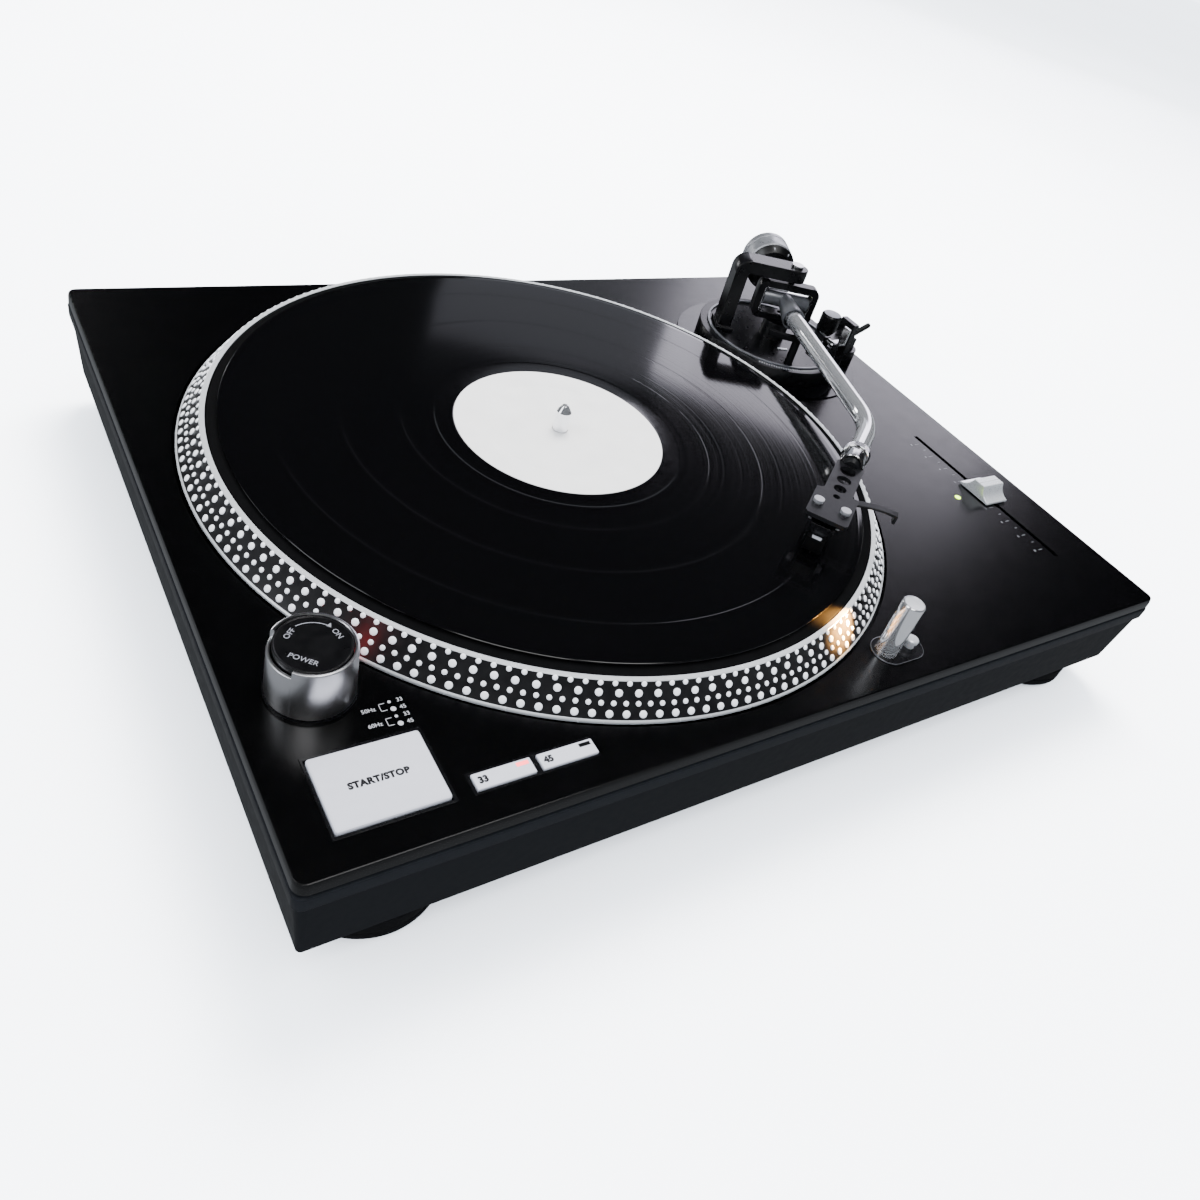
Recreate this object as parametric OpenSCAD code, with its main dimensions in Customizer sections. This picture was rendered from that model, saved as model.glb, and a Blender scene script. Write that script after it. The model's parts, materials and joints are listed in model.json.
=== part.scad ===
// Belt-drive record player with an S-shaped tonearm, in millimetres.
// Origin: centre of the footprint, on the surface that the feet stand on.
// +X is to the right, +Y to the back and +Z up.

/* [Plinth] */
// Width of the deck at its top edge
deck_w = 444.6; // [430:0.2:460]
// Depth of the deck at its top edge
deck_d = 349.2; // [345:0.2:370]
// Height of the deck surface above the floor
deck_z = 60; // [58:1:70]
// Corner radius of the plinth
corner_r = 5; // [3:0.5:7]
// How far the sides stand out below the top edge
side_flare = 0.7; // [0.4:0.1:1.5]
// How far the lower base draws in at its bottom edge
base_draft = 2.5; // [1:0.5:5]
// Height of the feet
foot_h = 15; // [13:1:18]
// Radius of a foot
foot_r = 29; // [24:1:30]

/* [Platter and record] */
// Radius of the platter at its lower rim
platter_r = 166.7; // [160:0.1:167]
// Radius of the platter at its upper rim
platter_top_r = 157.2; // [155:0.1:158]
// Radius of the record
record_r = 150.5; // [149:0.1:151]
// Radius of the record label
label_r = 50; // [48:0.5:50]
// Radius of the centre spindle
spindle_r = 3.6; // [3.5:0.05:3.6]

/* [Controls] */
// Height of the power knob above the deck
knob_h = 22.5; // [20:0.5:26]
// Outer radius of the power knob at its foot
knob_r = 15.2; // [14.5:0.1:15.5]
// Length of the pitch slot
pitch_slot_l = 110; // [100:1:112]
// Pitch slider travel each way
pitch_travel = 50; // [40:1:50]
// Height of the raised target lamp above the deck
lamp_h = 28.3; // [26:0.1:29]

/* [Tonearm] */
// Height of the horizontal pivot axis above the deck
arm_h = 33; // [32:0.5:35]
// Radius of the arm tube
tube_r = 4.8; // [4.5:0.1:4.8]
// Length of the headshell plate
shell_l = 54; // [50:0.5:54]
// Radius of the counterweight
weight_r = 15.3; // [14:0.1:16]

/* [Hidden] */
$fn = 96;

// Gap that faces keep across a joint, and a running fit between a shaft and its bore
gap = 0.3;
run = 0.05;
// The spindle steps down to a thinner shaft below its pin
shaft_r = spindle_r - 0.4;

// Places on the deck, in the part's own frame
platter_at = [-41.8, 3.6];
knob_at = [-195.3, -104.6];
start_at = [-187.5, -147.4];
speed_at = [-137.15, -158.95];
button_33_x = -148.8;
button_45_x = -124.3;
pitch_at = [191, -77.3];
pitch_led_at = [170.2, -77.1];
lamp_at = [36.5, -156.8];
lamp_button_at = [49.9, -157.8];
arm_at = [154.6, 80.9];

// Heights of the plinth's layers
panel_t = 3;
panel_skirt_z = deck_z - 5;
seam_z = deck_z - 13.4;
base_z = foot_h;
base_floor_t = 3;
side_wall = 4;
well_r = platter_r + 1.5;
well_wall = 2.3;
well_floor_z = deck_z - 4;
well_floor_t = 2;

// Places of the feet and of the base screws
foot_x = deck_w / 2 - 36;
foot_y = deck_d / 2 - 33;
screw_places = [
    for (x = [-1, 1], y = [-1, 0, 1]) [x * (deck_w / 2 - 9.5), y * (deck_d / 2 - 75)]
];

// Heights of the platter's layers
platter_z = deck_z - 1;
rim_low_h = 1.8;
rim_top_z = deck_z + 12.4;
mat_z = deck_z + 10.2;
record_z = deck_z + 12.3;
record_top_z = deck_z + 14.25;
web_z = deck_z + 6.5;
belt_rim_r = 105;
belt_z = deck_z - 0.2;
belt_h = 5;
belt_t = 0.8;
pulley_r = 7;
motor_dist = 134;
motor_az = 135;
motor_at = platter_at + motor_dist * [cos(motor_az), sin(motor_az)];
bearing_top_z = deck_z + 1;

// Tonearm directions, in degrees about the vertical axis: forward, and the two tube bends
arm_az = -117;
cross_az = arm_az - 90;
arm_z = deck_z + arm_h;
bend_1_at = 22;
bend_1_angle = 9;
bend_1_r = 40;
bend_2_at = 113.6;
bend_2_angle = -36.4;
bend_2_r = 45;
tube_end_at = 47.6;
tube_start = 13;
collar_l = 14;

// Rounded rectangle centred on the origin
module round_rect(w, d, r) {
    square([w - 2 * r, d], center = true);
    square([w, d - 2 * r], center = true);
    for (x = [-1, 1], y = [-1, 1])
        translate([x * (w / 2 - r), y * (d / 2 - r)]) circle(r = r);
}

// Rounded slab standing on height z
module slab(w, d, r, z, h) {
    translate([0, 0, z]) linear_extrude(h) round_rect(w, d, r);
}

// Thin outline of the plinth, drawn in by inset, for the drafted base
module outline_at(inset, z, t = 0.01) {
    translate([0, 0, z]) linear_extrude(t)
        hull() for (x = [-1, 1], y = [-1, 1])
            translate([x * (deck_w / 2 - inset - corner_r), y * (deck_d / 2 - inset - corner_r)])
                circle(r = corner_r, $fn = 32);
}

// Cylinder at a place on the deck between two heights
module post(at, r, z0, z1) {
    translate([at[0], at[1], z0]) cylinder(r = r, h = z1 - z0);
}

module tube(at, r_out, r_in, z0, z1) {
    difference() {
        post(at, r_out, z0, z1);
        post(at, r_in, z0 - 1, z1 + 1);
    }
}

module block(at, w, d, z0, z1) {
    translate([at[0] - w / 2, at[1] - d / 2, z0]) cube([w, d, z1 - z0]);
}

// Cylinder along a local horizontal axis: from a to b along Y, at height z
module rod_y(r, a, b, z, r2 = -1) {
    translate([0, a, z]) rotate([-90, 0, 0]) cylinder(r1 = r, r2 = r2 < 0 ? r : r2, h = b - a);
}

module rod_x(r, a, b, z) {
    translate([a, 0, z]) rotate([0, 90, 0]) cylinder(r = r, h = b - a);
}

// Places that turn with the tonearm: local +Y runs forward along the sleeve
module on_arm() {
    translate([arm_at[0], arm_at[1], 0]) rotate([0, 0, arm_az - 90]) children();
}

// Local frame at the end of the tube: +Y runs forward along the headshell
module at_shell() {
    on_arm() translate([0, bend_1_at, 0]) rotate([0, 0, bend_1_angle])
        translate([0, bend_2_at, 0]) rotate([0, 0, bend_2_angle])
            translate([0, tube_end_at, 0]) children();
}

// ---- Plinth ----

module well_cut(clear, z0, z1) {
    post(platter_at, well_r + clear, z0, z1);
}

module top_panel() {
    color([0.09, 0.095, 0.1])
    difference() {
        union() {
            slab(deck_w, deck_d, corner_r, deck_z - panel_t, panel_t);
            difference() {
                slab(deck_w, deck_d, corner_r, panel_skirt_z, deck_z - panel_t - panel_skirt_z);
                slab(deck_w - 2 * side_wall, deck_d - 2 * side_wall, 2, panel_skirt_z - 1, panel_t + 2);
            }
            post(platter_at, well_r + well_wall, well_floor_z - well_floor_t, deck_z - 0.5);
        }
        well_cut(0, well_floor_z, deck_z + 1);
        post(platter_at, 10.3, well_floor_z - 5, well_floor_z + 1);
        post(motor_at, 9, well_floor_z - 5, well_floor_z + 1);
        post(knob_at, 8, deck_z - 8, deck_z + 1);
        block(start_at, 41.2, 32.4, deck_z - 8, deck_z + 1);
        block(speed_at, 48.5, 9.1, deck_z - 8, deck_z + 1);
        block(pitch_at, 2.8, pitch_slot_l, deck_z - 8, deck_z + 1);
        post(pitch_led_at, 1.7, deck_z - 8, deck_z + 1);
        post(lamp_at, 7.1, deck_z - 8, deck_z + 1);
        post(lamp_button_at, 4.1, deck_z - 8, deck_z + 1);
        post(arm_at, 20, deck_z - 8, deck_z + 1);
    }
}

module upper_chassis() {
    flared_w = deck_w + 2 * side_flare;
    flared_d = deck_d + 2 * side_flare;
    color([0.12, 0.125, 0.135])
    difference() {
        union() {
            difference() {
                slab(flared_w, flared_d, corner_r + side_flare, seam_z, panel_skirt_z - seam_z);
                slab(deck_w - 2 * side_wall, deck_d - 2 * side_wall, 2, seam_z - 1, 20);
            }
            for (p = screw_places) post(p, 6, seam_z, seam_z + 6.5);
        }
        well_cut(well_wall + 0.3, well_floor_z - well_floor_t - 0.4, deck_z);
        for (p = screw_places) post(p, 1.6, seam_z - 1, seam_z + 5.5);
    }
}

phono_at = [118, deck_d / 2];
inlet_at = [-150, deck_d / 2];
jack_z = 30;

module lower_base() {
    pocket_d = 15;
    color([0.1, 0.105, 0.115])
    difference() {
        union() {
            difference() {
                hull() {
                    outline_at(base_draft, base_z);
                    outline_at(0.35, seam_z - 0.01);
                }
                hull() {
                    outline_at(base_draft + side_wall, base_z + base_floor_t);
                    outline_at(side_wall, seam_z + 1);
                }
            }
            for (p = screw_places) post(p, 5.5, base_z + base_floor_t, seam_z);
            for (x = [-1, 1], y = [-1, 1])
                post([x * foot_x, y * foot_y], 6, base_z + base_floor_t, base_z + 12);
            for (x = [-205, -112], y = [-155, -135]) post([x, y], 3.5, base_z + base_floor_t, 40);
            translate([phono_at[0] - 34, phono_at[1] - pocket_d - 6, base_z + 1])
                cube([68, pocket_d + 3.2, 27]);
            translate([inlet_at[0] - 20, inlet_at[1] - 14, base_z + 1]) cube([40, 10, 30]);
        }
        translate([phono_at[0] - 31, phono_at[1] - pocket_d - 3, base_z + 4]) cube([62, pocket_d + 10, 21]);
        for (x = [-14, 2]) translate([phono_at[0] + x, phono_at[1] - 10, jack_z])
            rotate([90, 0, 0]) cylinder(r = 4.2, h = 20);
        translate([phono_at[0] + 20, phono_at[1] - 10, jack_z]) rotate([90, 0, 0]) cylinder(r = 2.2, h = 20);
        translate([inlet_at[0] - 13.6, inlet_at[1] - 15, jack_z - 10]) cube([27.2, 20, 20]);
        for (p = screw_places) {
            post(p, 1.8, base_z - 1, seam_z + 1);
            post(p, 3.6, base_z - 1, base_z + 2.4);
        }
        for (x = [-1, 1], y = [-1, 1]) post([x * foot_x, y * foot_y], 2.1, base_z - 1, base_z + 13);
    }
}

module feet() {
    color([0.03, 0.03, 0.035])
    for (x = [-1, 1], y = [-1, 1])
        translate([x * foot_x, y * foot_y, 0]) rotate_extrude()
            polygon([
                [6, 0], [foot_r - 3.5, 0], [foot_r - 1.5, 1.2], [foot_r, 3.5], [foot_r, foot_h - 4],
                [foot_r - 2, foot_h - 1.5], [foot_r - 6, foot_h], [2.1, foot_h], [2.1, 6], [6, 6]
            ]);
}

module base_screws() {
    color([0.45, 0.45, 0.47]) {
        for (x = [-1, 1], y = [-1, 1]) {
            post([x * foot_x, y * foot_y], 4, 3.8, 6);
            post([x * foot_x, y * foot_y], 2, 6, base_z + 11);
        }
        for (p = screw_places) {
            post(p, 3.3, base_z + 0.4, base_z + 2.4);
            post(p, 1.5, base_z + 2.4, seam_z + 5);
        }
    }
}

// ---- Drive ----

module platter() {
    boss_r = 14;
    color([0.62, 0.63, 0.65])
    translate([platter_at[0], platter_at[1], 0])
    difference() {
        rotate_extrude($fn = 180) polygon([
            [shaft_r + 0.02, bearing_top_z + gap], [boss_r, bearing_top_z + gap], [boss_r, web_z],
            [belt_rim_r - 4, web_z], [belt_rim_r - 4, deck_z - 0.6], [belt_rim_r, deck_z - 0.6],
            [belt_rim_r, web_z], [platter_r - 10, web_z], [platter_r - 5, platter_z],
            [platter_r, platter_z], [platter_r, platter_z + rim_low_h],
            [platter_r - 0.8, platter_z + rim_low_h + 0.4],
            [platter_top_r, rim_top_z - 0.8], [platter_top_r, rim_top_z], [platter_top_r - 2.2, rim_top_z],
            [platter_top_r - 2.2, mat_z], [shaft_r + 0.02, mat_z]
        ]);
        rotate([0, 0, motor_az]) translate([motor_dist, 0, web_z - 1]) cylinder(r = 15, h = 10);
        rotate([0, 0, motor_az + 180]) translate([motor_dist, 0, web_z - 1]) cylinder(r = 15, h = 10);
    }
}

module slipmat() {
    color([0.05, 0.05, 0.055])
    tube(platter_at, platter_top_r - 2.5, 4, mat_z, record_z);
}

module record() {
    color([0.02, 0.02, 0.022])
    translate([platter_at[0], platter_at[1], 0]) rotate_extrude($fn = 180) polygon([
        [spindle_r + run, record_z], [record_r - 0.5, record_z], [record_r, record_z + 0.5],
        [record_r, record_top_z - 0.5], [record_r - 0.5, record_top_z], [label_r + 0.05, record_top_z],
        [label_r + 0.05, record_top_z - 0.15], [spindle_r + run, record_top_z - 0.15]
    ]);
}

module record_label() {
    color([0.88, 0.88, 0.86])
    tube(platter_at, label_r, spindle_r + run, record_top_z - 0.15, record_top_z + 0.05);
}

module spindle() {
    color([0.75, 0.76, 0.78])
    translate([platter_at[0], platter_at[1], 0]) {
        translate([0, 0, 27]) cylinder(r = shaft_r, h = record_top_z + 0.05 - 27);
        translate([0, 0, record_top_z + 0.05]) cylinder(r = spindle_r, h = deck_z + 24 - record_top_z - 0.05);
        translate([0, 0, deck_z + 24]) cylinder(r1 = spindle_r, r2 = 1.2, h = 3.2);
        translate([0, 0, deck_z + 27.2]) cylinder(r = 1.2, h = 0.4);
    }
}

module spindle_bearing() {
    color([0.6, 0.52, 0.3])
    difference() {
        union() {
            post(platter_at, 9, 22, bearing_top_z);
            post(platter_at, 24, well_floor_z - well_floor_t - 3, well_floor_z - well_floor_t);
        }
        post(platter_at, shaft_r + run, 26, bearing_top_z + 1);
    }
}

// Solid outline of the belt run at distance c from the rim and pulley
module belt_outline(c) {
    rim = belt_rim_r + c;
    pulley = pulley_r + c;
    lean = acos((rim - pulley) / motor_dist);
    circle(r = rim);
    translate([motor_dist, 0]) circle(r = pulley);
    polygon([
        rim * [cos(lean), sin(lean)], rim * [cos(lean), -sin(lean)],
        [motor_dist, 0] + pulley * [cos(lean), -sin(lean)],
        [motor_dist, 0] + pulley * [cos(lean), sin(lean)]
    ]);
}

module drive_belt() {
    color([0.06, 0.06, 0.06])
    translate([platter_at[0], platter_at[1], belt_z]) rotate([0, 0, motor_az])
        linear_extrude(belt_h) difference() {
            belt_outline(gap + belt_t, $fn = 180);
            belt_outline(gap, $fn = 180);
        }
}

motor_top_z = well_floor_z - well_floor_t - 2.5;

module motor() {
    color([0.4, 0.41, 0.43]) {
        tube(motor_at, 18, 2.2, motor_top_z - 22, motor_top_z);
        tube(motor_at, 6, 2.2, motor_top_z, motor_top_z + 2);
    }
}

module motor_mount() {
    color([0.5, 0.51, 0.53])
    difference() {
        post(motor_at, 24, motor_top_z, well_floor_z - well_floor_t);
        post(motor_at, 6.2, motor_top_z - 1, well_floor_z);
    }
}

module motor_pulley() {
    color([0.72, 0.58, 0.3]) {
        post(motor_at, 2.15, motor_top_z - 20, belt_z - 0.4);
        post(motor_at, pulley_r + 1, belt_z - 0.4, belt_z - gap);
        post(motor_at, pulley_r, belt_z - gap, belt_z + belt_h + 0.3);
    }
}

module circuit_board() {
    color([0.08, 0.3, 0.16]) {
        block([-158.5, -145], 110, 34, 40, 41.6);
        for (p = [start_at, [button_33_x, speed_at[1]], [button_45_x, speed_at[1]]]) {
            block(p, 6, 6, 41.6, 47.4);
            post(p, 1.8, 47.4, 48.8);
        }
        for (i = [0:4]) block([-205 + 14 * i, -132.5], 8, 5, 41.6, 44);
    }
}

module transformer() {
    color([0.35, 0.3, 0.25]) {
        block([-181, 96], 44, 38, base_z + base_floor_t, base_z + base_floor_t + 4);
        block([-181, 96], 26, 32, base_z + base_floor_t + 4, 49);
    }
}

// ---- Power knob ----

module power_core() {
    color([0.06, 0.06, 0.065])
    difference() {
        union() {
            post(knob_at, 7.8, deck_z - 6, deck_z);
            post(knob_at, 15.6, deck_z, deck_z + 1);
            post(knob_at, 12.9, deck_z + 1, deck_z + knob_h - 1.5);
        }
        translate([knob_at[0], knob_at[1], deck_z + 5]) rotate([0, 0, 35])
            translate([6, -5, 0]) cube([12, 10, 7]);
        post(knob_at, 5, deck_z - 7, deck_z + 14);
    }
}

module power_cap() {
    color([0.05, 0.055, 0.06])
    post(knob_at, 12.9, deck_z + knob_h - 1.5, deck_z + knob_h - 0.2);
}

module power_sleeve() {
    notch_from = 138;
    notch_sweep = 87;
    color([0.78, 0.79, 0.81])
    translate([knob_at[0], knob_at[1], 0])
    difference() {
        translate([0, 0, deck_z + 1 + gap]) cylinder(r1 = knob_r, r2 = knob_r - 0.6, h = knob_h - 1 - gap);
        translate([0, 0, deck_z]) cylinder(r = 13.25, h = knob_h + 1);
        rotate([0, 0, notch_from]) translate([0, 0, deck_z + knob_h - 3])
            linear_extrude(5) polygon([
                [0, 0],
                for (a = [0:8]) 25 * [cos(a / 8 * notch_sweep), sin(a / 8 * notch_sweep)]
            ]);
        rotate([0, 0, 35 + 30]) translate([10, -12, deck_z + 4]) cube([10, 24, 9]);
    }
}

module strobe_lamp() {
    color([0.9, 0.15, 0.15])
    translate([knob_at[0], knob_at[1], deck_z + 5.2]) rotate([0, 0, 35])
        translate([6.2, -4.8, 0]) cube([5.6, 9.6, 6.6]);
}

// ---- Buttons ----

module start_stop_frame() {
    color([0.04, 0.04, 0.045])
    difference() {
        union() {
            block(start_at, 41, 32.2, deck_z - 5, deck_z + 0.25);
            block(start_at, 44, 35.2, deck_z - 5, deck_z - panel_t);
        }
        block(start_at, 39.1, 29.8, deck_z - 6, deck_z + 1);
    }
}

module start_stop_button() {
    color([0.82, 0.83, 0.84]) {
        translate([start_at[0], start_at[1], deck_z - 3]) linear_extrude(4.4) round_rect(38.3, 29, 1.2);
        block(start_at, 6, 6, 50.4, deck_z - 3);
    }
}

module speed_frame() {
    color([0.04, 0.04, 0.045])
    difference() {
        union() {
            block(speed_at, 48.3, 8.9, deck_z - 4.5, deck_z + 0.25);
            block(speed_at, 51, 11.6, deck_z - 4.5, deck_z - panel_t);
        }
        for (x = [button_33_x, button_45_x]) block([x, speed_at[1]], 22.6, 7.1, deck_z - 6, deck_z + 1);
    }
}

module speed_button(x) {
    translate([x, speed_at[1], deck_z - 3]) linear_extrude(4) round_rect(22, 6.5, 0.6);
    block([x, speed_at[1]], 5, 5, 50.4, deck_z - 3);
}

module button_33() {
    color([0.8, 0.81, 0.82]) speed_button(button_33_x);
}

module button_45() {
    color([0.8, 0.81, 0.82]) speed_button(button_45_x);
}

// ---- Pitch slider ----

module pitch_knob() {
    knob_w = 17;
    knob_l = 21;
    color([0.8, 0.81, 0.83])
    translate([pitch_at[0], pitch_at[1], deck_z]) rotate([90, 0, 90]) translate([0, 0, -knob_w / 2])
        linear_extrude(knob_w) difference() {
            translate([-knob_l / 2, 0.5]) square([knob_l, 7.7]);
            for (s = [-1, 1]) translate([s * 11.4, 9.5]) circle(r = 7.8);
        }
}

module pitch_carriage() {
    color([0.2, 0.2, 0.22]) {
        block(pitch_at, 1.6, 8, 53, deck_z + 0.5);
        block(pitch_at, 9.2, 9, 44, 53);
    }
}

module pitch_fader() {
    color([0.3, 0.31, 0.33])
    difference() {
        block(pitch_at, 16, 2 * pitch_travel + 24, 41, deck_z - panel_t);
        block(pitch_at, 10, 2 * pitch_travel + 18, 43.6, 53.4);
        block(pitch_at, 2.8, 2 * pitch_travel + 12, 53, deck_z);
    }
}

module pitch_led() {
    color([0.7, 0.9, 0.1]) {
        post(pitch_led_at, 1.65, deck_z - 4, deck_z + 0.3);
        block(pitch_led_at, 6, 6, deck_z - 6, deck_z - 4);
    }
}

// ---- Target lamp ----

lamp_bottom_z = deck_z + lamp_h - 42;

module lamp_frame() {
    mid = (lamp_at + lamp_button_at) / 2;
    color([0.07, 0.07, 0.075])
    difference() {
        union() {
            translate([mid[0], mid[1], deck_z]) linear_extrude(0.5) round_rect(27, 16.4, 8.1);
            post(lamp_at, 7, 20, deck_z);
            post(lamp_button_at, 4, deck_z - 8, deck_z);
        }
        post(lamp_at, 5 + run, 19, deck_z + 1);
        post(lamp_button_at, 2.2 + gap, deck_z - 9, deck_z + 1);
    }
}

module target_lamp() {
    toward = atan2(platter_at[1] - lamp_at[1], platter_at[0] - lamp_at[0]);
    color([0.8, 0.81, 0.83])
    difference() {
        post(lamp_at, 5, lamp_bottom_z, deck_z + lamp_h);
        translate([lamp_at[0], lamp_at[1], deck_z + lamp_h - 5]) rotate([0, 90, toward])
            translate([0, 0, 3.2]) cylinder(r = 2, h = 4);
    }
}

module lamp_button() {
    color([0.8, 0.81, 0.83]) {
        post(lamp_button_at, 2.2, deck_z - 7, deck_z + 5);
        post(lamp_button_at, 2.9, deck_z + 3.4, deck_z + 5);
    }
}

// ---- Tonearm base ----

plate_t = 0.8;
base_top_z = deck_z + 10;
plate_top_z = deck_z + plate_t;
ear_at = arm_at + [47, 0];
lever_at = arm_at + [46.5, -18];
cue_r = 36;
lever_pivot = [lever_at[0] + 1, lever_at[1] + 1, base_top_z + 4.2];
cue_stem_az = -112;
cue_stem_at = arm_at + cue_r * [cos(cue_stem_az), sin(cue_stem_az)];
ring_low_z = arm_z - 12.5;
ring_high_z = arm_z + 11;
bar_z = ring_high_z + 2.5;
bar_t = 7.5;
hub_r = 8;

module arm_plate() {
    color([0.07, 0.07, 0.078])
    difference() {
        post(arm_at, 57.8, deck_z, plate_top_z);
        well_cut(0.8, deck_z - 1, deck_z + 5);
        post(arm_at, 19.5, deck_z - 1, deck_z + 5);
    }
}

module arm_base() {
    color([0.05, 0.05, 0.055])
    difference() {
        union() {
            post(arm_at, 46, plate_top_z, base_top_z);
            post(ear_at, 10.5, plate_top_z, base_top_z);
            post(lever_at, 9, plate_top_z, base_top_z);
            post(arm_at, 19, deck_z - 20, plate_top_z);
            post(arm_at, hub_r, base_top_z, ring_low_z - 0.4);
            for (y = [-6.4, 4.4])
                translate([lever_pivot[0] - 3, lever_pivot[1] + y, base_top_z]) cube([6, 2, 7.2]);
            translate([lever_pivot[0], lever_pivot[1] + 6, lever_pivot[2]])
                rotate([90, 0, 0]) cylinder(r = 1.5, h = 12);
        }
        well_cut(0.8, deck_z - 1, deck_z + 20);
        post(cue_stem_at, 2.4 + gap, deck_z - 1, base_top_z + 1);
    }
}

module scale_ring() {
    color([0.7, 0.71, 0.73])
    difference() {
        tube(arm_at, 41.4, 40, base_top_z, base_top_z + 1);
        well_cut(1, deck_z, deck_z + 20);
        post(ear_at, 7.2, deck_z, deck_z + 20);
        translate([rest_post_at[0] - 1.7, rest_post_at[1] - 7.5, deck_z]) cube([5, 13, 20]);
    }
}

// The yoke is a post beside the arm with a bar that reaches over the pivot
module arm_yoke() {
    reach = 37;
    post_t = 8;
    half_w = 7;
    top_z = bar_z + bar_t;
    color([0.06, 0.06, 0.066])
    on_arm() difference() {
        union() {
            translate([0, half_w, 0]) rotate([90, 0, 0]) linear_extrude(2 * half_w) {
                translate([reach - post_t, base_top_z + 2]) square([post_t, top_z - post_t - base_top_z - 2]);
                translate([0, bar_z]) square([reach - post_t, bar_t]);
                intersection() {
                    translate([reach - post_t, top_z - post_t]) circle(r = post_t);
                    translate([reach - post_t, top_z - post_t]) square([post_t, post_t]);
                }
            }
            translate([0, 0, bar_z]) cylinder(r = half_w, h = bar_t);
            translate([reach - post_t - 2, -9, base_top_z]) cube([post_t + 3, 18, 2]);
        }
        translate([0, 0, bar_z - 1]) cylinder(r = 2.55, h = bar_t + 2);
    }
}

module pivot_screws() {
    color([0.7, 0.71, 0.73])
    on_arm() {
        translate([0, 0, ring_high_z - 3]) cylinder(r = 2, h = 3 + 2.5);
        translate([0, 0, bar_z]) cylinder(r = 2.5, h = bar_t);
        translate([0, 0, bar_z + bar_t]) cylinder(r = 3.6, h = 1.6);
        translate([0, 0, ring_low_z - 0.4]) cylinder(r = 2, h = 3.4);
    }
}

module gimbal_ring() {
    half_d = 3.5;
    mid_z = (ring_low_z + ring_high_z) / 2;
    height = ring_high_z - ring_low_z;
    color([0.06, 0.06, 0.066])
    on_arm() difference() {
        translate([0, half_d, mid_z]) rotate([90, 0, 0]) linear_extrude(2 * half_d) difference() {
            round_rect(38, height, 5);
            round_rect(29, height - 9, 3);
        }
        translate([0, 0, ring_low_z - 1]) cylinder(r = 2 + run, h = height + 2);
        rod_x(2 + run, -18, 18, arm_z);
    }
}

// ---- Tonearm ----

module cross_shaft() {
    color([0.68, 0.69, 0.71])
    on_arm() {
        rod_x(4.5, -14.2, 14.2, arm_z);
        rod_x(2, -17.7, 17.7, arm_z);
    }
}

module arm_sleeve() {
    color([0.55, 0.56, 0.58])
    on_arm() difference() {
        rod_y(4.2, 0, 25.5, arm_z, 6.5);
        rod_x(4.52, -20, 20, arm_z);
        rod_y(5.6, 20, 27, arm_z);
        rod_y(tube_r + run, tube_start - 1, 27, arm_z);
    }
}

// Straight run of tube, a little thicker than the bends that it overlaps, then the rest of the chain
module straight(l) {
    rod_y(tube_r, -1, l + 1, arm_z);
    translate([0, l, 0]) children();
}

// Bend of tube that turns by angle about the vertical, then the rest of the chain
module bend(angle, r) {
    side = angle > 0 ? -1 : 1;
    translate([side * r, 0, arm_z]) rotate([0, 0, angle > 0 ? 0 : 180 + angle])
        rotate_extrude(angle = abs(angle)) translate([r, 0]) circle(r = tube_r - 0.1);
    translate([side * r, 0, 0]) rotate([0, 0, angle]) translate([-side * r, 0, 0]) children();
}

module arm_tube() {
    cut_1 = bend_1_r * tan(bend_1_angle / 2);
    cut_2 = bend_2_r * tan(abs(bend_2_angle) / 2);
    color([0.85, 0.86, 0.88])
    on_arm() translate([0, tube_start, 0])
        straight(bend_1_at - tube_start - cut_1)
            bend(bend_1_angle, bend_1_r)
                straight(bend_2_at - cut_1 - cut_2)
                    bend(bend_2_angle, bend_2_r)
                        straight(tube_end_at - cut_2 - 10);
}

module arm_stub() {
    color([0.5, 0.51, 0.53])
    on_arm() difference() {
        rod_y(3.5, -70, 0, arm_z);
        rod_x(4.52, -20, 20, arm_z);
    }
}

module headshell_collar() {
    color([0.75, 0.76, 0.78])
    at_shell() difference() {
        union() {
            rod_y(6.6, -collar_l, -collar_l + 4.5, arm_z);
            rod_y(6, -collar_l + 4.5, -gap, arm_z);
        }
        rod_y(tube_r + gap, -collar_l - 1, 1, arm_z);
    }
}

shell_top_z = arm_z + 1;
shell_t = 2;
shell_low_z = shell_top_z - shell_t;
narrow_l = 28.5;
screw_v = 6.35;
screw_u = 43;

module headshell() {
    color([0.16, 0.165, 0.175])
    at_shell() {
        difference() {
            translate([0, 0, shell_low_z]) linear_extrude(shell_t) {
                translate([-6.8, 0]) square([13.6, narrow_l + 2]);
                translate([0, (narrow_l + shell_l) / 2]) round_rect(19.8, shell_l - narrow_l, 1.5);
            }
            for (h = [[7.5, 3.9], [16.8, 3.5], [25.4, 3.1], [33, 1.7]])
                translate([0, h[0], shell_low_z - 1]) cylinder(r = h[1], h = shell_t + 2);
            for (s = [-1, 1]) translate([s * screw_v, 0, shell_low_z - 1]) {
                translate([-1.5, 37.5, 0]) cube([3, 9, shell_t + 2]);
                for (y = [37.5, 46.5]) translate([0, y, 0]) cylinder(r = 1.5, h = shell_t + 2);
            }
        }
        difference() {
            rod_y(4.4, -8.5, 3.2, arm_z);
            translate([-6, 0, shell_low_z]) cube([12, 4, 10]);
        }
    }
}

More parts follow.
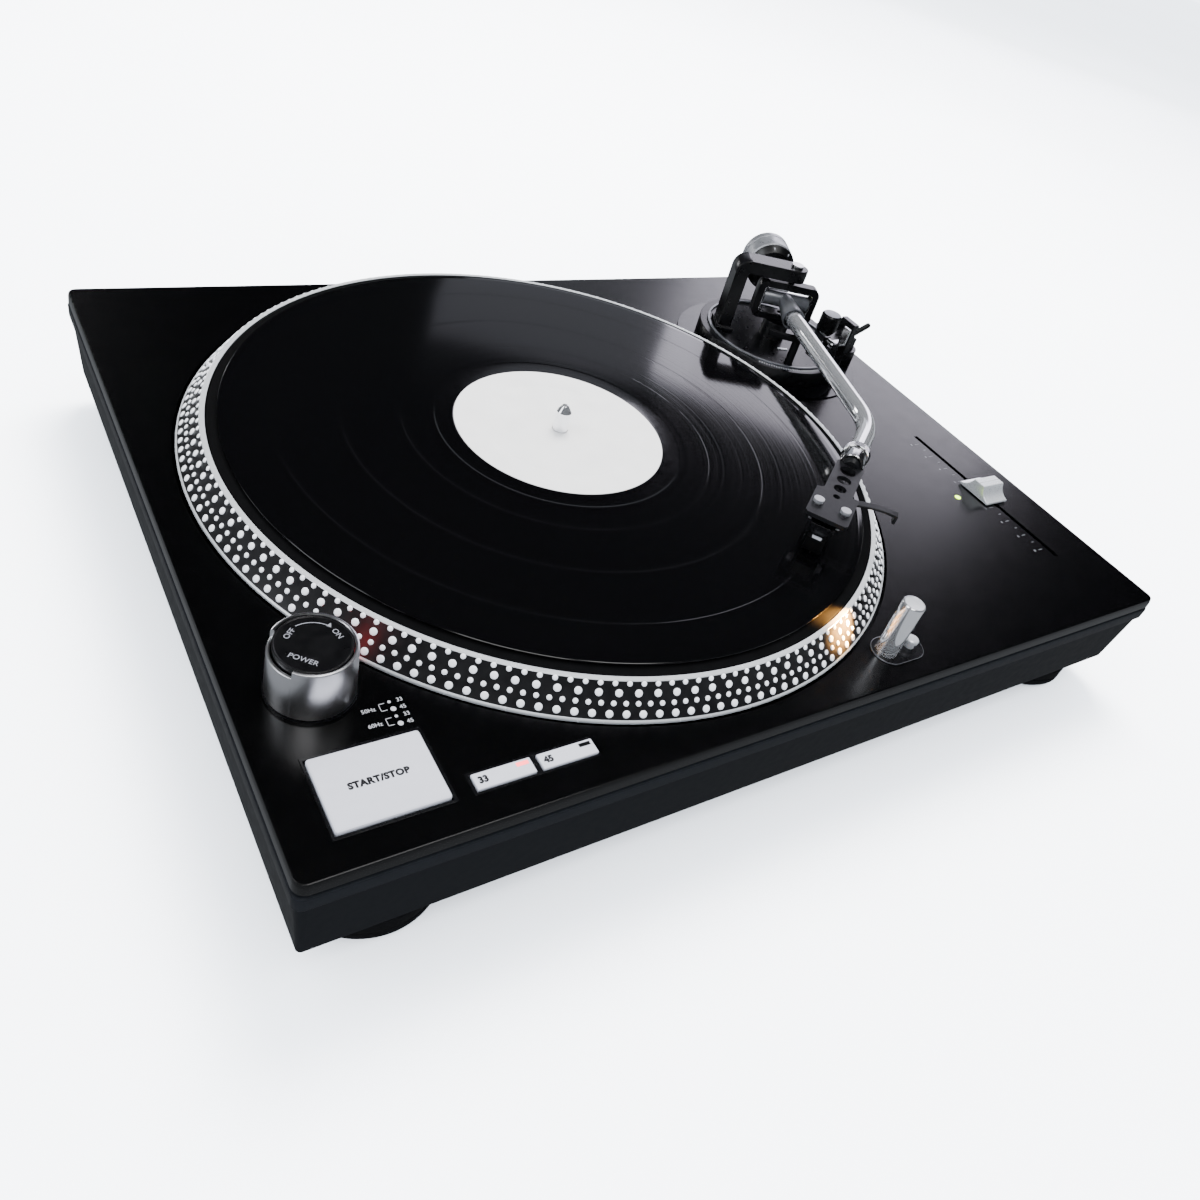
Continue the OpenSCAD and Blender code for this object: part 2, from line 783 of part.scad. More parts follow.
// The lift is fixed under the side of the headshell, rises a little and drops at its tip
module finger_lift() {
    reach = 23;
    steps = 10;
    low = shell_low_z;
    rise = [for (i = [0:steps]) 1.5 * sin(18 * max(0, i - 2))];
    top_line = [for (i = [0:steps]) [-reach * i / steps, low + rise[i]]];
    under_line = [for (i = [steps:-1:0]) [-(reach - 1.4) * i / steps, low - 1.2 + rise[i]]];
    color([0.1, 0.1, 0.11])
    at_shell() translate([-6, 29.6, 0]) rotate([0, 0, 10]) rotate([90, 0, 0]) linear_extrude(4.4)
        polygon(concat(top_line, [[-reach, low - 3.6], [-reach + 1.4, low - 3.6]], under_line));
}

module cartridge() {
    color([0.05, 0.05, 0.055])
    at_shell() difference() {
        union() {
            translate([-8.2, 33, shell_low_z - 4]) cube([16.4, 15, 4]);
            translate([-5.6, 31, shell_low_z - 13]) cube([11.2, 22, 10]);
        }
        for (s = [-1, 1]) translate([s * screw_v, screw_u, 0]) {
            translate([0, 0, shell_low_z - 5]) cylinder(r = 1.35, h = 6);
            translate([0, 0, shell_low_z - 14]) cylinder(r = 2.5, h = 10);
        }
    }
}

stylus_u = 55.6;
stylus_gap = 0.6;

module stylus() {
    body_z = shell_low_z - 13;
    tip_z = record_top_z + stylus_gap;
    color([0.1, 0.1, 0.11])
    at_shell() {
        translate([-4.2, 38, body_z - 2.6]) cube([8.4, 17, 2.6]);
        translate([-4.2, 53.05, body_z]) cube([8.4, 3.6, 5]);
        translate([0, stylus_u - 1.5, tip_z]) cylinder(r1 = 0.15, r2 = 0.5, h = body_z - 2.6 - tip_z);
    }
}

module cartridge_screws() {
    color([0.75, 0.76, 0.78])
    at_shell() for (s = [-1, 1]) translate([s * screw_v, screw_u, 0]) {
        translate([0, 0, shell_top_z]) cylinder(r = 2.4, h = 1.6);
        translate([0, 0, shell_low_z - 7]) cylinder(r = 1.2, h = 7 + shell_t);
        translate([0, 0, shell_low_z - 5.8]) cylinder(r = 2.2, h = 1.8);
    }
}

// ---- Counterweight ----

weight_front = -46.5;
weight_l = 19.5;

module weight_bush() {
    color([0.12, 0.12, 0.13])
    on_arm() difference() {
        rod_y(5.5, weight_front - weight_l + 0.5, weight_front + 4, arm_z);
        rod_y(3.5 + gap, weight_front - 30, weight_front + 10, arm_z);
    }
}

module counterweight() {
    color([0.5, 0.51, 0.53])
    on_arm() difference() {
        union() {
            rod_y(weight_r - 1, weight_front - weight_l, weight_front - weight_l + 1, arm_z, weight_r);
            rod_y(weight_r, weight_front - weight_l + 1, weight_front, arm_z);
        }
        rod_y(5.5 + gap, weight_front - weight_l - 1, weight_front + 1, arm_z);
    }
}

module weight_dial() {
    color([0.04, 0.04, 0.045])
    on_arm() difference() {
        rod_y(weight_r - 0.3, weight_front + gap, weight_front + 5, arm_z, weight_r - 3.6);
        rod_y(5.5 + gap, weight_front, weight_front + 6, arm_z);
    }
}

// ---- Arm rest, cueing and anti-skate ----

rest_at = arm_at + [-7.1, -45.95];
rest_post_at = arm_at + [29.1, -28.5];
shelf_z = arm_z - tube_r - 0.4;
clip_pivot = [rest_at[0] + 7.6, rest_at[1], shelf_z + 2.2];

module arm_rest() {
    shelf_az = atan2(rest_at[1] - rest_post_at[1], rest_at[0] - rest_post_at[0]);
    shelf_l = norm(rest_at - rest_post_at);
    color([0.07, 0.07, 0.078]) {
        translate([rest_post_at[0] - 1.2, rest_post_at[1] - 7, base_top_z])
            cube([4, 12, arm_z + 1 - base_top_z]);
        translate([rest_post_at[0], rest_post_at[1], shelf_z - 6]) rotate([0, 0, shelf_az])
            translate([0, -3, 0]) cube([shelf_l - 5, 6, 5]);
        translate([rest_at[0] - 5, rest_at[1] - 4.5, shelf_z - 6]) cube([14.6, 9, 6]);
        for (y = [-4.5, 3.3])
            translate([clip_pivot[0] - 2, rest_at[1] + y, shelf_z]) cube([4, 1.2, 4.2]);
        translate(clip_pivot + [0, 4.4, 0]) rotate([90, 0, 0]) cylinder(r = 0.8, h = 8.8);
    }
}

// The clip folds over the parked tube; it is drawn open, lying away from the tube
module rest_clip() {
    leg = 9.6;
    color([0.8, 0.81, 0.83])
    translate(clip_pivot) difference() {
        union() {
            rotate([90, 0, 0]) translate([0, 0, -3]) cylinder(r = 1.8, h = 6);
            translate([0, -2.5, -0.6]) cube([leg, 5, 1.2]);
            translate([leg - 1.2, -2.5, 0]) cube([1.2, 5, 9.2]);
        }
        rotate([90, 0, 0]) translate([0, 0, -4]) cylinder(r = 0.8 + run, h = 8);
    }
}

module cue_bar() {
    bar_top_z = arm_z - tube_r - 0.4;
    color([0.12, 0.12, 0.13]) {
        difference() {
            tube(arm_at, cue_r + 1.6, cue_r - 1.6, bar_top_z - 3, bar_top_z);
            translate([arm_at[0], arm_at[1], 0]) linear_extrude(200) polygon([
                [0, 0], for (a = [-92:12:220]) 60 * [cos(a), sin(a)]
            ]);
        }
        post(cue_stem_at, 2.4, deck_z + 5.5, bar_top_z - 3);
    }
}

lever_angle = 28;

module cue_lever() {
    color([0.05, 0.05, 0.055])
    translate(lever_pivot) difference() {
        union() {
            rotate([90, 0, 0]) translate([0, 0, -4]) cylinder(r = 3.6, h = 8);
            rotate([0, 90 - lever_angle, 0]) cylinder(r = 1.7, h = 17.5);
            rotate([0, 90 - lever_angle, 0]) translate([0, 0, 17.5]) sphere(r = 1.7);
        }
        rotate([90, 0, 0]) translate([0, 0, -5]) cylinder(r = 1.5 + run, h = 10);
    }
}

module anti_skate_knob() {
    color([0.07, 0.07, 0.075]) {
        post(ear_at, 6.6, base_top_z + gap, base_top_z + 11.5);
        post(ear_at, 6, base_top_z + 11.5, base_top_z + 12);
    }
}

// ---- Back panel ----

module phono_sockets() {
    color([0.75, 0.7, 0.5]) {
        for (x = [-14, 2]) translate([phono_at[0] + x, phono_at[1] - 3, jack_z]) rotate([90, 0, 0])
            difference() {
                union() {
                    cylinder(r = 4.15, h = 25);
                    translate([0, 0, 12.5]) cylinder(r = 5.6, h = 2.5);
                }
                translate([0, 0, -1]) cylinder(r = 1.7, h = 9);
            }
        translate([phono_at[0] + 20, phono_at[1] - 6, jack_z]) rotate([90, 0, 0]) {
            cylinder(r = 2, h = 22);
            translate([0, 0, 2]) cylinder(r = 4, h = 6);
        }
    }
}

module mains_inlet() {
    color([0.05, 0.05, 0.055])
    translate([inlet_at[0], inlet_at[1], jack_z]) {
        difference() {
            union() {
                translate([-13.4, -22, -9.8]) cube([26.8, 19.5, 19.6]);
                translate([-17, -17, -11.5]) cube([34, 3, 24]);
            }
            translate([-11.5, -17, -8]) cube([23, 20, 16]);
        }
        for (p = [[-7, -1.5], [0, 2.5], [7, -1.5]])
            translate([p[0] - 1, -17, p[1] - 2]) cube([2, 12, 4]);
    }
}

top_panel();
upper_chassis();
lower_base();
feet();
base_screws();
platter();
slipmat();
record();
record_label();
spindle();
spindle_bearing();
drive_belt();
motor();
motor_mount();
motor_pulley();
circuit_board();
transformer();
power_core();
power_cap();
power_sleeve();
strobe_lamp();
start_stop_frame();
start_stop_button();
speed_frame();
button_33();
button_45();
pitch_knob();
pitch_carriage();
pitch_fader();
pitch_led();
lamp_frame();
target_lamp();
lamp_button();
arm_plate();
arm_base();
scale_ring();
arm_yoke();
pivot_screws();
gimbal_ring();
cross_shaft();
arm_sleeve();
arm_tube();
arm_stub();
headshell_collar();
headshell();
finger_lift();
cartridge();
stylus();
cartridge_screws();
weight_bush();
counterweight();
weight_dial();
arm_rest();
rest_clip();
cue_bar();
cue_lever();
anti_skate_knob();
phono_sockets();
mains_inlet();
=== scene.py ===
"""A belt-drive record player in a plain studio. Lengths are in millimetres unless they end in _m."""
import json
import math

import bmesh
import bpy
from mathutils import Matrix, Vector


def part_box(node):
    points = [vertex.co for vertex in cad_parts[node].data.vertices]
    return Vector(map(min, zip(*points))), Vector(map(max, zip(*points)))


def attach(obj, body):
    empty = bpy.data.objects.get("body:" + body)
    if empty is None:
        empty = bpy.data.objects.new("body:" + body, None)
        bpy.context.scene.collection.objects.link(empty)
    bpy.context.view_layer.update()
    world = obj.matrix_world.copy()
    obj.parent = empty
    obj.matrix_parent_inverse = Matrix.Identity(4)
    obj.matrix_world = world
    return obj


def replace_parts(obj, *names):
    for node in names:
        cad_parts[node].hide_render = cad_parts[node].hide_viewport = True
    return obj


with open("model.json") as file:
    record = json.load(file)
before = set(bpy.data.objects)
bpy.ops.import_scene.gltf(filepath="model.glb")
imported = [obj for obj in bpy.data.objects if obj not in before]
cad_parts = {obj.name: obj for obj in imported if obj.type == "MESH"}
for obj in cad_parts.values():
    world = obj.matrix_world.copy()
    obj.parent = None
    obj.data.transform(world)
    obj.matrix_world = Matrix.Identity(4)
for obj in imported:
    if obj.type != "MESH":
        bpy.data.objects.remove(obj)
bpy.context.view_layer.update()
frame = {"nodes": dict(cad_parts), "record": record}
MM = 0.001
JOINTS = {j["name"]: j for j in frame["record"]["behaviour"]["joints"]}


# ---- Places, all taken from the CAD frame ----

def lo(node):
    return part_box(node)[0] / MM


def hi(node):
    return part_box(node)[1] / MM


def mid(node):
    return (lo(node) + hi(node)) / 2


def joint_at(name):
    return Vector(JOINTS[name]["pos_m"]) / MM


def at_xy(p):
    """Takes a mesh drawn round the Z axis to a point of the plan."""
    return Matrix.Translation((p.x, p.y, 0))


def spun(degrees, axis="Z"):
    return Matrix.Rotation(math.radians(degrees), 4, axis)


DECK_Z = hi("top_panel").z
DECK_W = hi("top_panel").x - lo("top_panel").x
DECK_D = hi("top_panel").y - lo("top_panel").y
PLATTER = joint_at("platter_spin")
KNOB = mid("power_sleeve")
ARM = joint_at("arm_swing")
ARM_Z = ARM.z
tilt_axis = Vector(JOINTS["arm_tilt"]["axis"])
ARM_TURN = math.atan2(tilt_axis.y, tilt_axis.x)
# Local +Y of the arm runs forward along its sleeve, and local +X is its tilt axis
ARM_M = at_xy(ARM) @ Matrix.Rotation(ARM_TURN, 4, "Z")
shell_axis = Vector(JOINTS["collar_turn"]["axis"])
SHELL = joint_at("collar_turn")
SHELL_TURN = math.atan2(shell_axis.y, shell_axis.x) - math.pi / 2
SHELL_M = at_xy(SHELL) @ Matrix.Rotation(SHELL_TURN, 4, "Z")


# ---- Materials ----

# Most of a noise texture's values lie between these two
NOISE_LOW, NOISE_HIGH = 0.3, 0.7
GRAIN_M, GROOVE_M = 0.00005, 0.00006
GROOVE_BANDS = 900.0


def link(nt, a, b):
    nt.links.new(a, b)


def material(name, colour, metallic=0.0, rough=0.4, rough_vary=0.08, tint=0.12, scale=260.0,
             bump=0.15, bump_scale=1800.0, aniso=0.0, radial=False, specular=0.5,
             emission=None, strength=0.0, stretch=(1, 1, 1)):
    """A finish with slow changes of tone and gloss and a fine grain."""
    m = bpy.data.materials.new(name)
    m.use_nodes = True
    nt = m.node_tree
    p = nt.nodes["Principled BSDF"]
    p.inputs["Metallic"].default_value = metallic
    p.inputs["Specular IOR Level"].default_value = specular
    p.inputs["Anisotropic"].default_value = aniso
    if emission:
        p.inputs["Emission Color"].default_value = (*emission, 1)
        p.inputs["Emission Strength"].default_value = strength
    coords = nt.nodes.new("ShaderNodeTexCoord")
    place = nt.nodes.new("ShaderNodeMapping")
    place.inputs["Scale"].default_value = stretch
    link(nt, coords.outputs["Object"], place.inputs["Vector"])
    slow = nt.nodes.new("ShaderNodeTexNoise")
    slow.inputs["Scale"].default_value = scale
    slow.inputs["Detail"].default_value = 6
    link(nt, place.outputs["Vector"], slow.inputs["Vector"])
    spread = nt.nodes.new("ShaderNodeMapRange")
    spread.inputs["From Min"].default_value = NOISE_LOW
    spread.inputs["From Max"].default_value = NOISE_HIGH
    spread.inputs["To Min"].default_value = max(0.02, rough - rough_vary)
    spread.inputs["To Max"].default_value = min(1.0, rough + rough_vary)
    link(nt, slow.outputs["Fac"], spread.inputs["Value"])
    link(nt, spread.outputs["Result"], p.inputs["Roughness"])
    ramp = nt.nodes.new("ShaderNodeValToRGB")
    ramp.color_ramp.elements[0].position = NOISE_LOW
    ramp.color_ramp.elements[1].position = NOISE_HIGH
    ramp.color_ramp.elements[0].color = (*[c * (1 - tint) for c in colour], 1)
    ramp.color_ramp.elements[1].color = (*[min(1, c * (1 + tint)) for c in colour], 1)
    link(nt, slow.outputs["Fac"], ramp.inputs["Fac"])
    link(nt, ramp.outputs["Color"], p.inputs["Base Color"])
    fine = nt.nodes.new("ShaderNodeTexNoise")
    fine.inputs["Scale"].default_value = bump_scale
    fine.inputs["Detail"].default_value = 3
    link(nt, place.outputs["Vector"], fine.inputs["Vector"])
    grain = nt.nodes.new("ShaderNodeBump")
    grain.inputs["Strength"].default_value = bump
    grain.inputs["Distance"].default_value = GRAIN_M
    link(nt, fine.outputs["Fac"], grain.inputs["Height"])
    link(nt, grain.outputs["Normal"], p.inputs["Normal"])
    if radial:
        tangent = nt.nodes.new("ShaderNodeTangent")
        tangent.direction_type = "RADIAL"
        tangent.axis = "Z"
        link(nt, tangent.outputs["Tangent"], p.inputs["Tangent"])
    return m


def radius_of(nt, centre):
    """Distance from a vertical axis, in metres, as a node output."""
    coords = nt.nodes.new("ShaderNodeTexCoord")
    shift = nt.nodes.new("ShaderNodeMapping")
    shift.inputs["Location"].default_value = (-centre.x * MM, -centre.y * MM, 0)
    flat = nt.nodes.new("ShaderNodeVectorMath")
    flat.operation = "MULTIPLY"
    flat.inputs[1].default_value = (1, 1, 0)
    length = nt.nodes.new("ShaderNodeVectorMath")
    length.operation = "LENGTH"
    link(nt, coords.outputs["Object"], shift.inputs["Vector"])
    link(nt, shift.outputs["Vector"], flat.inputs[0])
    link(nt, flat.outputs["Vector"], length.inputs[0])
    return length.outputs["Value"]


def vinyl_material():
    """Black vinyl: grooves that change along the radius, with a radial highlight."""
    m = material("vinyl", (0.0005, 0.0005, 0.0006), rough=0.2, rough_vary=0.02, tint=0.1,
                 bump=0.0, aniso=0.75, radial=True, specular=0.5)
    nt = m.node_tree
    p = nt.nodes["Principled BSDF"]
    radius = radius_of(nt, PLATTER)
    times = nt.nodes.new("ShaderNodeMath")
    times.operation = "MULTIPLY"
    times.inputs[1].default_value = GROOVE_BANDS
    link(nt, radius, times.inputs[0])
    bands = nt.nodes.new("ShaderNodeTexNoise")
    bands.noise_dimensions = "1D"
    bands.inputs["Scale"].default_value = 1.0
    bands.inputs["Detail"].default_value = 5
    link(nt, times.outputs["Value"], bands.inputs["W"])
    gloss = nt.nodes.new("ShaderNodeMapRange")
    gloss.inputs["From Min"].default_value = NOISE_LOW
    gloss.inputs["From Max"].default_value = NOISE_HIGH
    gloss.inputs["To Min"].default_value = 0.045
    gloss.inputs["To Max"].default_value = 0.1
    link(nt, bands.outputs["Fac"], gloss.inputs["Value"])
    link(nt, gloss.outputs["Result"], p.inputs["Roughness"])
    groove = nt.nodes.new("ShaderNodeBump")
    groove.inputs["Strength"].default_value = 0.1
    groove.inputs["Distance"].default_value = GROOVE_M
    link(nt, bands.outputs["Fac"], groove.inputs["Height"])
    link(nt, groove.outputs["Normal"], p.inputs["Normal"])
    return m


deck_black = material("deck_satin_black", (0.0002, 0.00022, 0.0003), rough=0.25, rough_vary=0.02,
                      bump=0.08, bump_scale=2600, scale=120, specular=0.4)
side_black = material("side_satin_black", (0.0035, 0.0039, 0.0048), rough=0.34, rough_vary=0.03, bump=0.1,
                      bump_scale=2200, specular=0.04)
base_black = material("base_satin_black", (0.0026, 0.0029, 0.0036), rough=0.4, rough_vary=0.03, bump=0.12,
                      bump_scale=2000, specular=0.03)
rubber_black = material("foot_rubber", (0.002, 0.002, 0.0023), rough=0.6, bump=0.3, specular=0.04)
flank_black = material("flank_black", (0.0032, 0.003, 0.0035), rough=0.4, bump=0.2, specular=0.4)
bright_rim = material("turned_rim", (0.3, 0.305, 0.31), metallic=0.5, rough=0.25, rough_vary=0.03,
                      aniso=0.4, radial=True, bump=0.05, tint=0.03)
stud_silver = material("stud_silver", (0.46, 0.46, 0.47), metallic=0.1, rough=0.38, tint=0.03, bump=0.1)
felt_black = material("mat_felt", (0.0009, 0.0009, 0.001), rough=0.95, bump=1.0, bump_scale=3800,
                      specular=0.05)
vinyl = vinyl_material()
vinyl_smooth = material("vinyl_smooth", (0.0005, 0.0005, 0.0006), rough=0.1, rough_vary=0.02, bump=0.05,
                        aniso=0.6, radial=True)
label_paper = material("label_paper", (0.34, 0.332, 0.324), rough=0.62, tint=0.03, scale=90, bump=0.3,
                       bump_scale=1400)
steel_bright = material("bright_steel", (0.82, 0.82, 0.83), metallic=1, rough=0.2, tint=0.04, bump=0.1)
chrome = material("chrome", (0.88, 0.88, 0.9), metallic=0.95, rough=0.09, rough_vary=0.015,
                  tint=0.02, bump=0.006)
satin_alloy = material("satin_alloy", (0.78, 0.79, 0.81), metallic=0.84, rough=0.3, rough_vary=0.04,
                       tint=0.03, scale=700, bump=0.25, stretch=(1, 9, 1))
button_alloy = material("button_alloy", (0.24, 0.24, 0.262), metallic=0.12, rough=0.42, rough_vary=0.04,
                        tint=0.02, bump=0.15, bump_scale=2400)
knob_alloy = material("knob_alloy", (0.72, 0.72, 0.74), metallic=1, rough=0.3, rough_vary=0.012, tint=0.01,
                      bump=0.03, scale=60, aniso=0.3, radial=True)
cap_black = material("cap_black", (0.0007, 0.0007, 0.0009), rough=0.35, bump=0.25)
gloss_black = material("moulded_black", (0.0012, 0.0012, 0.0015), rough=0.26, rough_vary=0.03, bump=0.05)
arm_black = material("arm_black", (0.0012, 0.0012, 0.0015), rough=0.28, rough_vary=0.01, tint=0.05,
                     bump=0.01, specular=0.35)
shell_black = material("shell_black", (0.0022, 0.0023, 0.0027), rough=0.36, bump=0.08, specular=0.3)
plate_black = material("plate_black", (0.0006, 0.0006, 0.0008), rough=0.12, rough_vary=0.02, bump=0.02,
                       specular=0.25)
pivot_grey = material("pivot_grey", (0.2, 0.205, 0.22), metallic=0.9, rough=0.36, bump=0.15, bump_scale=3000)
weight_grey = material("weight_grey", (0.27, 0.275, 0.29), metallic=0.88, rough=0.33, aniso=0.4, bump=0.08)
print_white = material("print_white", (0.17, 0.17, 0.18), rough=0.5, tint=0.02, bump=0.05)
print_grey = material("print_grey", (0.085, 0.085, 0.095), rough=0.5, tint=0.04, bump=0.05)
print_black = material("print_black", (0.0025, 0.0025, 0.003), rough=0.5, tint=0.04, bump=0.05)
lamp_red = material("lamp_red", (0.9, 0.05, 0.06), rough=0.3, emission=(1.0, 0.05, 0.06), strength=6.0)
led_pink = material("led_pink", (0.55, 0.06, 0.07), rough=0.3, emission=(1.0, 0.08, 0.1), strength=2.2)
led_green = material("led_green", (0.6, 0.95, 0.05), rough=0.3, emission=(0.62, 1.0, 0.03), strength=1.6)
lamp_warm = material("lamp_warm", (1.0, 0.7, 0.3), rough=0.3, emission=(1.0, 0.6, 0.2), strength=8.0)
gold = material("gold_plate", (0.85, 0.62, 0.28), metallic=1, rough=0.22, tint=0.05)
brass = material("brass", (0.68, 0.5, 0.24), metallic=1, rough=0.32, tint=0.06)
board_green = material("board_green", (0.02, 0.12, 0.06), rough=0.4)
iron = material("laminations", (0.16, 0.13, 0.1), metallic=0.6, rough=0.55, stretch=(1, 1, 40))

CAD_FINISH = {
    "base_screws": steel_bright, "spindle_bearing": brass, "drive_belt": rubber_black, "motor": steel_bright,
    "motor_mount": steel_bright, "motor_pulley": brass, "circuit_board": board_green, "transformer": iron,
    "power_core": gloss_black, "strobe_lamp": lamp_red, "pitch_carriage": gloss_black,
    "pitch_fader": gloss_black, "pitch_led": led_green, "phono_sockets": gold, "mains_inlet": gloss_black,
    "start_stop_frame": gloss_black, "speed_frame": gloss_black, "weight_bush": arm_black,
}
for node, finish in CAD_FINISH.items():
    for s in frame["nodes"][node].material_slots:
        s.material = finish


# ---- Mesh making ----

def moved(bm, matrix):
    bmesh.ops.transform(bm, matrix=matrix, verts=bm.verts)
    return bm


def bridge(bm, a, b):
    """Quads between two closed rings of points."""
    n = len(a)
    return [bm.faces.new((a[k], a[(k + 1) % n], b[(k + 1) % n], b[k])) for k in range(n)]


def place(name, bm, body, slot, mats, matrix=None, bevel=0.0, segs=2, sharp=40):
    """Turns a mesh drawn in millimetres into a piece of the object that rides on a CAD body."""
    bmesh.ops.remove_doubles(bm, verts=bm.verts, dist=1e-4)
    if matrix is not None:
        moved(bm, matrix)
    bmesh.ops.scale(bm, vec=(MM, MM, MM), verts=bm.verts)
    bmesh.ops.recalc_face_normals(bm, faces=bm.faces)
    mesh = bpy.data.meshes.new(name)
    bm.to_mesh(mesh)
    bm.free()
    for m in (mats if isinstance(mats, (list, tuple)) else [mats]):
        mesh.materials.append(m)
    mesh.shade_smooth()
    mesh.set_sharp_from_angle(angle=math.radians(sharp))
    ob = bpy.data.objects.new(name, mesh)
    bpy.context.scene.collection.objects.link(ob)
    if bevel:
        bevelled(ob, bevel, segs)
    if body:
        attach(ob, body)
    return ob


def fillet(points, steps=3):
    """Rounds the corners of a closed profile: each point is (x, y) or (x, y, radius)."""
    out = []
    n = len(points)
    for i, pt in enumerate(points):
        r = pt[2] if len(pt) > 2 else 0
        c = Vector(pt[:2])
        if r <= 0:
            out.append(tuple(c))
            continue
        a = Vector(points[i - 1][:2]) - c
        b = Vector(points[(i + 1) % n][:2]) - c
        half = a.angle(b) / 2
        back = min(r / math.tan(half), a.length * 0.49, b.length * 0.49)
        p0, p1 = c + a.normalized() * back, c + b.normalized() * back
        for k in range(steps + 1):
            t = k / steps
            out.append(tuple((1 - t) ** 2 * p0 + 2 * t * (1 - t) * c + t ** 2 * p1))
    return out


def lathe_mesh(profile, segs=96, mat_of=None):
    """A closed profile of (radius, height) turned about the Z axis."""
    bm = bmesh.new()
    rings = [[bm.verts.new((x, y, z)) for x, y in circle(r, segs)] for r, z in profile]
    n = len(profile)
    for i in range(n):
        p, q = profile[i], profile[(i + 1) % n]
        if p[0] < 1e-6 and q[0] < 1e-6:
            continue
        for f in bridge(bm, rings[i], rings[(i + 1) % n]):
            if mat_of:
                f.material_index = mat_of(p, q)
    return bm


def lathe(name, at, profile, body, slot, mats, segs=96, mat_of=None, matrix=None, sharp=40):
    base = at_xy(at) if matrix is None else matrix
    return place(name, lathe_mesh(fillet(profile), segs, mat_of), body, slot, mats, base, sharp=sharp)


def along(matrix, y, z, toward=1):
    """Frame for turned pieces on a horizontal axis: their height runs along local Y from y."""
    return matrix @ Matrix.Translation((0, y, z)) @ spun(-90 * toward, "X")


def loft_mesh(loops, cap=True):
    """Closed loops of equal length joined one to the next, with flat ends."""
    bm = bmesh.new()
    rows = [[bm.verts.new(p) for p in loop] for loop in loops]
    for a, b in zip(rows, rows[1:]):
        bridge(bm, a, b)
    if cap:
        bm.faces.new(list(reversed(rows[0])))
        bm.faces.new(rows[-1])
    return bm


def round_rect(w, d, r, z=0.0, steps=6, at=(0, 0)):
    pts = []
    for cx, cy, a0 in ((1, 1, 0), (-1, 1, 90), (-1, -1, 180), (1, -1, 270)):
        for k in range(steps + 1):
            a = math.radians(a0 + 90 * k / steps)
            x = at[0] + cx * (w / 2 - r) + r * math.cos(a)
            y = at[1] + cy * (d / 2 - r) + r * math.sin(a)
            pts.append((x, y, z))
    return pts


def slab(name, w, d, r, levels, body, slot, mats, at=(0, 0), sharp=40, steps=6):
    """Stacked rounded rectangles, whose levels are (inset, height)."""
    loops = [round_rect(w - 2 * i, d - 2 * i, max(0.05, r - i), z, steps, at) for i, z in levels]
    return place(name, loft_mesh(loops), body, slot, mats, sharp=sharp)


def prism_mesh(outline, z0, z1):
    return loft_mesh([[(x, y, z0) for x, y in outline], [(x, y, z1) for x, y in outline]])


def box_mesh(x0, y0, z0, x1, y1, z1):
    return prism_mesh([(x0, y0), (x1, y0), (x1, y1), (x0, y1)], z0, z1)


def circle(r, n=48, at=(0, 0)):
    angles = [2 * math.pi * k / n for k in range(n)]
    return [(at[0] + r * math.cos(a), at[1] + r * math.sin(a)) for a in angles]


def joined(meshes):
    """Several meshes as one, unjoined where they only touch."""
    out = bmesh.new()
    for bm in meshes:
        data = bpy.data.meshes.new("part")
        bm.to_mesh(data)
        bm.free()
        out.from_mesh(data)
        bpy.data.meshes.remove(data)
    return out


def cut(ob, cutters):
    """Takes the cutter meshes, drawn in millimetres, out of a piece."""
    for i, bm in enumerate(cutters):
        tool = place(f"cutter_{i}", bm, None, None, [])
        mod = ob.modifiers.new("cut", "BOOLEAN")
        mod.operation = "DIFFERENCE"
        mod.solver = "EXACT"
        mod.object = tool
        bpy.context.view_layer.update()
        done = bpy.data.meshes.new_from_object(ob.evaluated_get(bpy.context.evaluated_depsgraph_get()))
        ob.modifiers.clear()
        old, ob.data = ob.data, done
        bpy.data.meshes.remove(old)
        bpy.data.objects.remove(tool)
    ob.data.shade_smooth()
    ob.data.set_sharp_from_angle(angle=math.radians(35))
    return ob


def bevelled(ob, width, segs=2, angle=40):
    mod = ob.modifiers.new("edges", "BEVEL")
    mod.width = width * MM
    mod.segments = segs
    mod.limit_method = "ANGLE"
    mod.angle_limit = math.radians(angle)
    mod.harden_normals = True
    return ob


def flat_faces(*pieces):
    """Lets a piece's large faces set its normals, so that they stay flat beside their rounded edges."""
    for ob in pieces:
        mod = ob.modifiers.new("normals", "WEIGHTED_NORMAL")
        mod.mode = "FACE_AREA"
        mod.weight = 100
        mod.keep_sharp = True


def sweep_mesh(path, section):
    """A section of (side, up) points carried along a path, closed at both ends."""
    loops = []
    for i, p in enumerate(path):
        ahead = (Vector(path[min(i + 1, len(path) - 1)]) - Vector(path[max(i - 1, 0)])).normalized()
        side = ahead.cross(Vector((0, 0, 1))).normalized()
        top = side.cross(ahead)
        loops.append([Vector(p) + side * a + top * b for a, b in section])
    return loft_mesh(loops)


def writing(name, words, size, matrix, body, slot, mat, thick=0.06, spacing=1.0, bold=0.0):
    """Thin raised lettering, whose middle the matrix puts in place in millimetres."""
    curve = bpy.data.curves.new(name, "FONT")
    curve.body = words
    curve.size = size
    curve.extrude = thick / 2
    curve.offset = bold
    curve.align_x = "CENTER"
    curve.align_y = "CENTER"
    curve.space_character = spacing
    curve.resolution_u = 3
    tmp = bpy.data.objects.new(name + "_tmp", curve)
    bpy.context.scene.collection.objects.link(tmp)
    bpy.context.view_layer.update()
    data = bpy.data.meshes.new_from_object(tmp.evaluated_get(bpy.context.evaluated_depsgraph_get()))
    bpy.data.objects.remove(tmp)
    bm = bmesh.new()
    bm.from_mesh(data)
    bpy.data.meshes.remove(data)
    return place(name, bm, body, slot, mat, matrix, sharp=30)


def on_deck(x, y, z, turn=0.0):
    """Place of lettering that lies flat on the deck or on a control."""
    return Matrix.Translation((x, y, z)) @ spun(turn)


